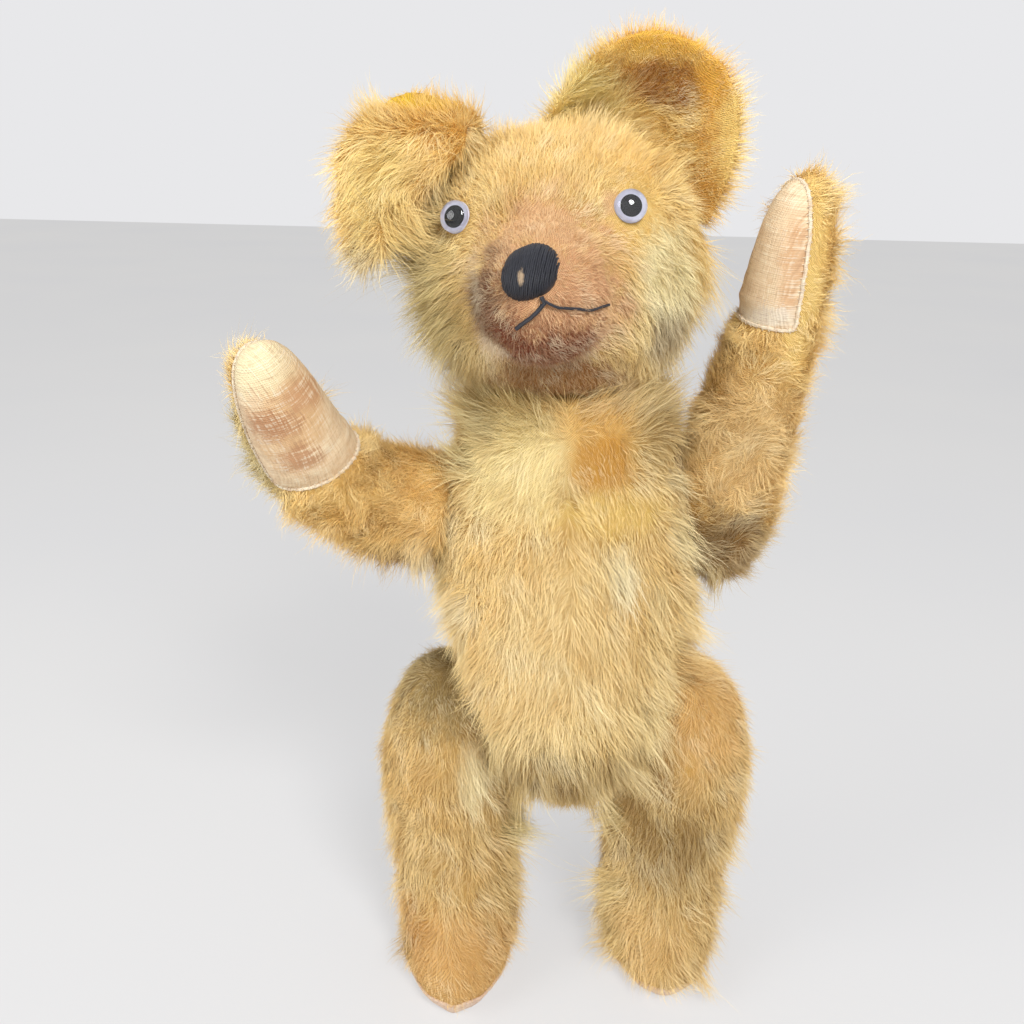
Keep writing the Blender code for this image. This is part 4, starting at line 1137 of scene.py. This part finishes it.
MOUTH_RIGHT = ((5.0, 46.5), (6.0, 44.5), (3.0, 41.5), (-0.5, 39.0), (-4.0, 36.5))
MOUTH_LEFT = ((5.4, 45.4), (10.0, 42.6), (15.0, 41.4), (19.5, 39.8), (24.5, 39.8))
for side_name, path, radius in (("right", MOUTH_RIGHT, 0.75), ("left", MOUTH_LEFT, 0.5)):
    mouth = laid_threads(f"mouth_thread_{side_name}", [mouth_run(path, 1.3)], radius, 10, 0.05, 9,
                         pearl_thread, "head")
    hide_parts(f"mouth_stitch_{side_name}")


# ---------------------------------------------------------------- arms and paw pads
# The arms are worn short and matted. Each has a cream cotton pad, stained pink-brown, sewn into the
# inner face of its paw with a small turned edge.

# The middle line of each arm, from above its joint to the tip of its paw.
ARM_PATHS = {
    "left": ((61.5, 0.0, 203.0), (65.0, 0.0, 232.0), (70.0, -1.5, 260.0), (76.0, -6.5, 292.0),
             (81.0, -13.5, 324.0), (83.5, -22.5, 379.0)),
    "right": ((-34.0, 0.0, 230.0), (-60.0, -1.0, 231.0), (-83.0, -7.0, 235.5), (-102.0, -19.0, 248.5),
              (-112.5, -34.0, 268.0), (-123.5, -58.0, 315.0)),
}
# Which way each pad faces, its wrist end from the bear's middle, and which way its paw points.
PADS = {
    "left": ((-0.92, -0.39, 0.0), (80.5, -12.5, 320.0), (0.04, -0.16, 1.0)),
    "right": ((0.72, -0.69, -0.12), (-110.5, -31.0, 259.0), (-0.25, -0.41, 0.88)),
}
MIDLINE_SHIFT = np.array((18.33, 20.032, 0.0))
# How far behind the wrist the pad's seam lies, and how much the stuffed paw swells.
PAD_BACK = {"left": 4.0, "right": -3.0}
PAD_SWELL = {"left": 1.6, "right": 0.9}
ARM_HAIRS = (5000, 9000, 20000)
MOHAIR_WALL = 1.4
COTTON_WALL = 1.2
ARM_PATCHES = {
    "left": (
        Patch((103, -8, 336), (9, 16, 46), (255, 222, 136), 0.95, 0.4, 0.75),
        Patch((90, 0, 268), (26, 26, 34), (244, 214, 154), 0.7),
        Patch((82, 0, 220), (26, 24, 22), (120, 82, 34), 0.8, 1.1),
        Patch((82, -2, 206), (7, 14, 8), (216, 194, 136), 0.6, 1.8, tip=(-5, -4, -16)),
        Patch((106, 10, 212), (14, 24, 16), (150, 112, 60), 0.3, 0.6),
    ),
    "right": (
        Patch((-42, 4, 252), (14, 24, 22), (255, 212, 124), 0.7, 0.75),
        Patch((-80, -20, 246), (20, 26, 22), (255, 218, 132), 0.6, 0.8, 0.9),
        Patch((-112, -10, 270), (16, 30, 34), (208, 196, 142), 0.7),
        Patch((-58, 0, 211), (36, 30, 10), (146, 104, 48), 0.8, 1.2),
        Patch((-47, -8, 214), (7, 18, 12), (255, 242, 200), 0.8, 2.2, tip=(7, -10, -26)),
        Patch((-66, -12, 216), (12, 14, 7), (244, 214, 152), 0.5, 1.5, tip=(16, -6, -8)),
    ),
}
PAD_STAINS = {
    "left": (
        Patch((97, -14, 345), (6, 20, 22), (200, 146, 98), 0.6),
        Patch((86, -14, 322), (20, 20, 5), (250, 244, 226), 0.7),
        Patch((90, -10, 372), (20, 20, 12), (240, 220, 184), 0.6),
    ),
    "right": (
        Patch((-92, -38, 286), (14, 20, 24), (222, 172, 112), 0.6),
        Patch((-99, -40, 282), (11, 20, 8), (168, 108, 70), 0.7),
        Patch((-90, -34, 268), (9, 20, 6), (180, 122, 82), 0.65),
        Patch((-86, -40, 294), (9, 20, 7), (190, 132, 88), 0.6),
        Patch((-103, -38, 306), (13, 20, 12), (246, 234, 190), 0.8),
    ),
}


def cotton_finish(name, stains, base, along, facing):
    """Plain woven cotton: fine warp and weft that follow the pad, with stains and grime."""
    material, graph, place = new_finish(name)
    along, facing = Vector(along).normalized(), Vector(facing).normalized()
    across = along.cross(facing).normalized()
    waver = (graph.noise(place, 6.0, 2.0) - 0.5) * 0.9
    up = graph.vector("DOT_PRODUCT", place, tuple(along)) + waver
    wide = graph.vector("DOT_PRODUCT", place, tuple(across)) + waver
    warp = graph.maths("SINE", up * 8.5) * 0.5 + 0.5
    weft = graph.maths("SINE", wide * 8.5) * 0.5 + 0.5
    # Threads are of uneven thickness and took up the grime unevenly, which shows as a cross-hatch.
    long_way = graph.node("ShaderNodeCombineXYZ", {}, {"X": up / 11.0, "Y": wide / 0.8})[0]
    cross_way = graph.node("ShaderNodeCombineXYZ", {}, {"X": up / 0.8, "Y": wide / 11.0, "Z": 7.0})[0]
    hatch = graph.noise(long_way, 1.0, 2.0) + graph.noise(cross_way, 1.0, 2.0)
    slubs = graph.noise(place, 0.7, 3.0)
    weave = warp * 0.5 + weft * 0.5
    grime = graph.step(graph.noise(place, 5.0, 5.0, 0.7) + (hatch - 1.0) * 0.5, 0.44, 0.68)
    colour = graph.mix(grime * 0.5, base, dyed(208, 162, 114))
    colour = patched(graph, place + (hatch - 1.0) * (9.0, 9.0, 9.0), colour, stains)
    colour = graph.mix(graph.step(hatch, 1.02, 1.25) * 0.5, colour, dyed(255, 248, 222))
    colour = graph.mix(graph.step(hatch, 0.98, 0.76) * 0.32, colour, dyed(160, 112, 74))
    colour = graph.mix(0.2 * (1.0 - weave) + 0.2 * slubs, colour, dyed(150, 112, 80))
    lit(graph, colour, 0.82 + 0.1 * slubs, weave + slubs * 0.6 + hatch * 1.5, 0.18)
    return material


def cut_at(bm, at, normal):
    bmesh.ops.bisect_plane(
        bm, geom=bm.verts[:] + bm.edges[:] + bm.faces[:], plane_co=Vector(at) * MM,
        plane_no=Vector(normal), dist=1e-7,
    )


def split_off(obj, name, cuts):
    """Cuts the cloth at these (point, way) planes. What lies beyond all of them becomes a new object."""
    bm = bmesh.new()
    bm.from_mesh(obj.data)
    for at, way in cuts:
        cut_at(bm, at, way)

    def beyond(face):
        middle_at = face.calc_center_median() / MM
        return all((middle_at - Vector(at)).dot(Vector(way)) > 0.0 for at, way in cuts)

    taken = [face for face in bm.faces if beyond(face)]
    kept = [face for face in bm.faces if not beyond(face)]
    other = bm.copy()
    other.faces.ensure_lookup_table()
    drop = [other.faces[face.index] for face in kept]
    bm.faces.index_update()
    bmesh.ops.delete(other, geom=drop, context="FACES")
    bmesh.ops.delete(bm, geom=taken, context="FACES")
    bm.to_mesh(obj.data)
    bm.free()
    mesh = bpy.data.meshes.new(name)
    other.to_mesh(mesh)
    other.free()
    mesh.shade_smooth()
    return placed(name, mesh)


def rim_of(obj, spacing):
    """The open edge of a cut cloth: points at even steps along it, and the way it faces at each."""
    mesh = obj.data
    points, facings = points_of(mesh)
    uses = {}
    for face in mesh.polygons:
        for edge in face.edge_keys:
            uses[edge] = uses.get(edge, 0) + 1
    beside = {}
    for (first, second), times in uses.items():
        if times == 1:
            beside.setdefault(first, []).append(second)
            beside.setdefault(second, []).append(first)
    start = min(beside)
    rim, last, now = [start], start, beside[start][0]
    while now != start:
        rim.append(now)
        onward = [corner for corner in beside[now] if corner != last]
        last, now = now, onward[0]
    both = np.hstack([points[rim + [start]], facings[rim + [start]]])
    travelled = np.concatenate([[0.0], np.cumsum(np.linalg.norm(np.diff(both[:, :3], axis=0), axis=1))])
    wanted = np.linspace(0.0, travelled[-1], int(travelled[-1] / spacing), endpoint=False)
    even = np.stack([np.interp(wanted, travelled, both[:, column]) for column in range(6)], 1)
    for _ in range(4):
        even = (np.roll(even, 1, axis=0) + 2.0 * even + np.roll(even, -1, axis=0)) / 4.0
    return even[:, :3], unit(even[:, 3:])


def turned_edge(name, rim, rim_facings, radius, uneven, cotton, body, seed):
    """The folded edge of a pad, as one soft cord of cotton round its rim."""
    raised = rim + rim_facings * radius * 0.35
    run = [*raised, raised[0], raised[1]]
    laid_threads(name, [run], radius, 8, uneven, seed, cotton, body)


def whip_stitches(name, rim, rim_facings, pad_middle, every, thread, body, seed):
    """Small slanting stitches over a pad's edge."""
    ahead = unit(np.roll(rim, -1, axis=0) - np.roll(rim, 1, axis=0))
    sideways = unit(np.cross(rim_facings, ahead))
    if (sideways * (pad_middle - rim)).sum() < 0.0:
        sideways = -sideways
    runs = []
    for number in range(0, len(rim), every):
        at, up, side, on = rim[number], rim_facings[number], sideways[number], ahead[number]
        runs.append([at - side * 1.5 - up * 0.4, at - side * 0.8 + up * 0.9 + on * 0.3,
                     at + side * 0.6 + up * 1.0 + on * 0.8, at + side * 1.8 - up * 0.5 + on * 1.2])
    laid_threads(name, runs, SEWING_THREAD, 4, 0.15, seed, thread, body)


def beyond_planes(points, planes):
    """How far each point lies beyond each of these (point, way) planes."""
    return np.stack([(points - np.array(at)) @ np.array(way) for at, way in planes], 1)


def smoothed(obj):
    finer = obj.modifiers.new("finer", "SUBSURF")
    finer.levels = finer.render_levels = 1
    settled(obj)


def thickened(obj, wall):
    """Gives the cloth its thickness inwards."""
    solid = obj.modifiers.new("wall", "SOLIDIFY")
    solid.thickness = wall * MM
    solid.offset = -1.0
    settled(obj)


for number, side_name in enumerate(("left", "right")):
    body = f"arm_{side_name}"
    arm = skin_of(
        f"{body}_skin",
        [f"{body}_cover", f"{body}_pad", f"{body}_stuffing", f"shoulder_{side_name}_disc_outer",
         f"shoulder_{side_name}_washer_outer"], 2.6,
    )
    plumped(arm, [SHOULDERS[side_name]], 1.5)
    faces_way, wrist, paw_way = (Vector(item) for item in PADS[side_name])
    paw_way.normalize()
    square_way = (faces_way - paw_way * faces_way.dot(paw_way)).normalized()
    wrist = wrist + Vector(MIDLINE_SHIFT)
    seams = ((wrist, paw_way), (wrist + square_way * PAD_BACK[side_name], square_way))
    # The seam round the pad lies in a shallow groove.
    points, facings = points_of(arm.data)
    from_seams = beyond_planes(points, seams)
    within = np.min(from_seams, axis=1)
    groove = 0.9 * bell(within, 2.2)
    swell = PAD_SWELL[side_name] * eased(within, 1.0, 9.0)
    creases = np.sin(from_seams[:, 0] * 0.9 + 1.6 * cloudy(points, 16.0, 95))
    swell = swell + 0.35 * creases * eased(within, 1.0, 4.0) * (1.0 - eased(from_seams[:, 0], 12.0, 26.0))
    set_points(arm.data, points + facings * (swell - groove)[:, None])
    pad = split_off(arm, f"{body}_paw_pad", seams)
    rim, rim_facings = rim_of(pad, 1.3)
    pad_middle = points_of(pad.data)[0].mean(axis=0)
    points, facings = points_of(arm.data)
    from_seams = beyond_planes(points, seams)
    by_seam = 1.0 - eased(-np.min(from_seams, axis=1), 1.0, 12.0)
    by_seam = (by_seam * eased(from_seams[:, 0], -12.0, 0.0))[:, None]
    path = np.array(ARM_PATHS[side_name]) + MIDLINE_SHIFT
    legs_of_path = path[1:] - path[:-1]
    shares = np.linspace(0.0, 1.0, 12)[:, None]
    fine = np.concatenate([start + run * shares for start, run in zip(path, legs_of_path)])
    nearest = np.linalg.norm(points[:, None] - fine[None], axis=2).argmin(axis=1)
    to_paw = unit(legs_of_path[nearest // len(shares)])
    share_along = nearest / (len(fine) - 1.0)
    ways = 0.75 * to_paw * (1.0 - by_seam) + (0.0, 0.0, -0.5) - 0.5 * by_seam * np.array(square_way)
    ways = ways + 0.5 * swirls(points, 22.0, range(91 + 3 * number, 94 + 3 * number))
    pile = 10.0 + 1.5 * eased(share_along, 0.55, 0.95) + 2.0 * eased(-points[:, 2], -215.0, -190.0)
    if side_name == "right":
        pile = pile + 3.0 * eased(-from_seams[:, 1], 2.0, 12.0) * eased(from_seams[:, 0], -30.0, 0.0)
    pile = pile * (1.0 - 0.15 * by_seam[:, 0]) * (1.0 + 0.2 * cloudy(points, 15.0, 97 + number))
    long, thick = left_of_pile(points, ARM_PATCHES[side_name])
    inwards = -1.0 if side_name == "left" else 1.0
    thick = thick * rubbed(points, facings, SHOULDERS[side_name], (inwards, 0.0, 0.0), 16.0, 23.0)
    arm_coat = pile_finish(f"{body}_pile", ARM_PATCHES[side_name], dyed(168, 122, 58), dyed(255, 224, 148),
                           dyed(252, 210, 122), dyed(246, 218, 150))
    ways = gathered(points, ways, ARM_PATCHES[side_name])
    comb_over(arm, unit(ways), pile * long, thick)
    coats(body, arm, body, ARM_HAIRS, arm_coat, "straw_mohair", 101 + 10 * number,
          Stray=1.0, Wave=1.3 * MM)
    arm_backing = backing_finish(f"{body}_backing", ARM_PATCHES[side_name], dyed(232, 190, 112),
                                 dyed(204, 160, 88))
    thickened(arm, MOHAIR_WALL)
    fitted(arm, arm_backing, body, [f"{body}_cover"])
    smoothed(pad)
    thickened(pad, COTTON_WALL)
    cotton = cotton_finish(f"{body}_cotton", PAD_STAINS[side_name], dyed(238, 214, 176), paw_way,
                           square_way)
    hem = cotton_finish(f"{body}_hem", (), dyed(250, 238, 212), paw_way, square_way)
    turned_edge(f"{body}_pad_edge", rim, rim_facings, 0.75, 0.16, hem, body, 201 + number)
    whip_stitches(f"{body}_pad_stitches", rim, rim_facings, pad_middle, 2, hem, body, 205 + number)
    fitted(pad, cotton, body, [f"{body}_pad"])


# ---------------------------------------------------------------- legs and foot pads
# The legs are short and thick with small forward feet. The pile is worn on the thighs and longer
# below the knees, and each flat sole is a cotton pad that turns up a little at its seam.
LEG_PATCHES = {
    "left": (
        Patch((76, 2, 144), (32, 36, 36), (246, 200, 124), 0.66, 0.85),
        Patch((58, -10, 124), (14, 26, 22), (160, 124, 70), 0.5, 0.8),
        Patch((70, -20, 76), (30, 30, 28), (154, 120, 52), 0.74),
        Patch((62, -24, 20), (32, 40, 22), (246, 212, 144), 0.55),
        Patch((75, -17, 120), (3, 12, 3), (238, 186, 88), 0.5, 1.3),
        Patch((44, -12, 110), (7, 14, 12), (255, 240, 190), 0.9, 1.6, tip=(2, -8, -20)),
        Patch((44, 8, 80), (9, 16, 9), (226, 210, 146), 0.6, 1.9, tip=(-16, -6, -8)),
        Patch((46, 2, 42), (9, 14, 9), (252, 232, 170), 0.75, 2.2, tip=(-22, -8, 5)),
        Patch((45, -8, 18), (9, 16, 11), (246, 226, 164), 0.6, 1.9, tip=(-15, -9, -7)),
        Patch((84, -22, 16), (6, 14, 9), (240, 214, 150), 0.4, 1.9, tip=(4, -8, -14)),
    ),
    "right": (
        # Painted shade on the thigh, along the edge of the belly above it.
        Patch((-38, 10, 150), (24, 30, 26), (146, 126, 76), 0.8, 0.8),
        Patch((-14, -10, 128), (12, 26, 18), (150, 112, 62), 0.5, 0.8),
        Patch((-30, -26, 20), (34, 44, 22), (238, 192, 120), 0.75, 0.6),
        Patch((-52, -24, 34), (12, 24, 14), (206, 152, 72), 0.75, 0.8),
        Patch((-22, -14, 112), (9, 14, 17), (255, 242, 196), 0.92, 1.7, tip=(3, -9, -28)),
        Patch((-4, 8, 74), (9, 16, 11), (226, 214, 152), 0.7, 1.5, tip=(11, -5, -7)),
        Patch((-58, -20, 16), (8, 16, 10), (176, 150, 84), 0.5, 1.7, tip=(-12, -8, -10)),
    ),
}
SOLE_PILE = {"left": 0.6, "right": 0.25}
SOLE_TILT = math.radians(5.5)
FLAT_BELOW = 1.3
LEG_HAIRS = (8500, 8000, 19000)
for number, side_name in enumerate(("left", "right")):
    body = f"leg_{side_name}"
    leg = skin_of(
        f"{body}_skin",
        [f"{body}_cover", f"{body}_foot_pad", f"{body}_stuffing", f"hip_{side_name}_disc_outer",
         f"hip_{side_name}_washer_outer"], 3.3,
    )
    plumped(leg, [HIPS[side_name]], 1.5)
    sole_middle = middle_of(f"{body}_foot_pad") / MM
    sole_middle.z = 4.2
    # The sole's seam rises towards the toe, where its pale edge shows.
    sole_way = Vector((0.0, -math.sin(SOLE_TILT), -math.cos(SOLE_TILT)))
    points, facings = points_of(leg.data)
    points[:, 2] = np.maximum(points[:, 2], 0.0)
    points = np.where(points[:, 2:3] < FLAT_BELOW, points * (1.0, 1.0, 0.0), points)
    above_sole = (np.array(sole_middle) - points) @ np.array(sole_way)
    groove = bell(above_sole, 2.0) * (points[:, 2] > 1.5)
    set_points(leg.data, points - facings * (groove[:, None] * (1.0, 1.0, 0.0)))
    sole = split_off(leg, f"{body}_sole", ((sole_middle, sole_way),))
    rim, rim_facings = rim_of(sole, 1.6)
    rim[:, 2] = np.maximum(rim[:, 2], 1.15)
    points, facings = points_of(leg.data)
    hip = np.array(HIPS[side_name])
    outside = 1.0 if side_name == "left" else -1.0
    height = points[:, 2]
    middle_x = hip[0] + outside * 20.0
    spread = (points[:, 0] - middle_x) / 30.0
    toe = eased(-points[:, 1], 8.0, 30.0) * eased(-height, -50.0, -20.0)
    ways = np.stack([0.28 * spread, -0.1 - 0.9 * toe, -1.0 + 0.25 * toe], 1)
    ways = ways + 0.4 * swirls(points, 26.0, range(121 + 3 * number, 124 + 3 * number))
    # The toe seam runs up the front of the foot, and the pile parts along it.
    toe_x = points[points[:, 1].argmin(), 0]
    from_toe = (points[:, 0] - toe_x) / 4.0
    on_toe = toe * eased(-height, -30.0, -14.0)
    parted = 0.7 * np.tanh(from_toe) * bell(from_toe, 3.0) * on_toe
    ways = ways + parted[:, None] * (1.0, 0.0, 0.0)
    pile = 8.5 + 4.0 * eased(-height, -95.0, -60.0) - 1.5 * eased(-height, -30.0, -10.0)
    pile = pile * (1.0 + 0.22 * cloudy(points, 16.0, 127 + number))
    long, thick = left_of_pile(points, LEG_PATCHES[side_name])
    above_sole = (np.array(sole_middle) - points) @ np.array(sole_way)
    over_toe = bell(from_toe, 1.2) * on_toe
    at_sole = np.maximum(SOLE_PILE[side_name], 0.8 * over_toe)
    long = long * (at_sole + (1.0 - at_sole) * eased(above_sole, 1.0, 16.0))
    thick = thick * rubbed(points, facings, hip, (-outside, 0.0, 0.0), 18.0, 27.0)
    leg_coat = pile_finish(f"{body}_pile", LEG_PATCHES[side_name], dyed(150, 112, 54), dyed(240, 208, 138),
                           dyed(234, 192, 110), dyed(228, 200, 136))
    ways = gathered(points, ways, LEG_PATCHES[side_name])
    comb_over(leg, unit(ways), pile * long, thick)
    coats(body, leg, body, LEG_HAIRS, leg_coat, "tan_mohair", 131 + 10 * number,
          Stray=0.95, Wave=1.1 * MM)
    leg_backing = backing_finish(f"{body}_backing", LEG_PATCHES[side_name], dyed(214, 176, 104),
                                 dyed(186, 148, 82))
    thickened(leg, MOHAIR_WALL)
    fitted(leg, leg_backing, body, [f"{body}_cover"])
    smoothed(sole)
    thickened(sole, COTTON_WALL)
    sole_cotton = cotton_finish(f"{body}_cotton", (), dyed(238, 214, 194), (0.0, 1.0, 0.0),
                                (0.0, 0.0, -1.0))
    turned_edge(f"{body}_sole_edge", rim, rim_facings, 0.8, 0.14, sole_cotton, body, 211 + number)
    fitted(sole, sole_cotton, body, [f"{body}_foot_pad"])

for spent in (long_hair, short_hair, fuzz_hair):
    bpy.data.objects.remove(spent)


# ---------------------------------------------------------------- studio
# The bear stands on plain pale paper. One soft lamp hangs high on the front right and a weaker one on
# the left, and an even pale surround fills the shadows.
paper, graph, place = new_finish("paper")
sees = graph.node("ShaderNodeLightPath", {}, {})
tone = graph.noise(place, 400.0, 2.0)
paper_colour = graph.mix(tone, dyed(226, 226, 228), dyed(232, 231, 230))
flat_paper = graph.node("ShaderNodeBsdfDiffuse", {}, {"Color": paper_colour})
glow = graph.node("ShaderNodeEmission", {}, {"Color": paper_colour, "Strength": 1.0})
paper_shows = graph.node(
    "ShaderNodeMixShader", {}, {0: sees["Is Camera Ray"] * 0.62, 1: flat_paper[0], 2: glow[0]}
)
graph.node("ShaderNodeOutputMaterial", {}, {"Surface": paper_shows[0]})
floor_mesh = bpy.data.meshes.new("floor")
FAR = 4.0
floor_corners = [(-FAR, -FAR, 0.0), (FAR, -FAR, 0.0), (FAR, FAR, 0.0), (-FAR, FAR, 0.0)]
floor_mesh.from_pydata(floor_corners, [], [(0, 1, 2, 3)])
floor_mesh.materials.append(paper)
floor = placed("floor", floor_mesh)

world = bpy.data.worlds.new("surround")
scene.world = world
world.use_nodes = True
world.node_tree.nodes.clear()
graph = Graph(world.node_tree)
sees = graph.node("ShaderNodeLightPath", {}, {})
mirrored = graph.maths("MAXIMUM", sees["Is Glossy Ray"], sees["Is Transmission Ray"])
seen = graph.maths("MAXIMUM", sees["Is Camera Ray"], mirrored)
lights_up = graph.node("ShaderNodeBackground", {}, {"Color": (1.0, 1.0, 1.0, 1.0), "Strength": 0.5})
shows = graph.node("ShaderNodeBackground", {}, {"Color": dyed(232, 232, 234), "Strength": 1.0})
surround = graph.node("ShaderNodeMixShader", {}, {0: seen, 1: lights_up[0], 2: shows[0]})
graph.node("ShaderNodeOutputWorld", {}, {"Surface": surround[0]})


def soft_lamp(name, at, aims_at, size, power):
    data = bpy.data.lights.new(name, "AREA")
    data.shape = "DISK"
    data.size = size
    data.energy = power
    lamp = placed(name, data)
    lamp.location = at
    lamp.rotation_euler = (Vector(aims_at) - Vector(at)).to_track_quat("-Z", "Y").to_euler()


soft_lamp("key_lamp", (0.35, -0.95, 1.15), (0.0, 0.0, 0.25), 0.5, 15.5)
soft_lamp("side_lamp", (-1.0, -0.5, 0.75), (0.0, 0.0, 0.25), 0.7, 6.0)

scene.view_settings.view_transform = "Standard"
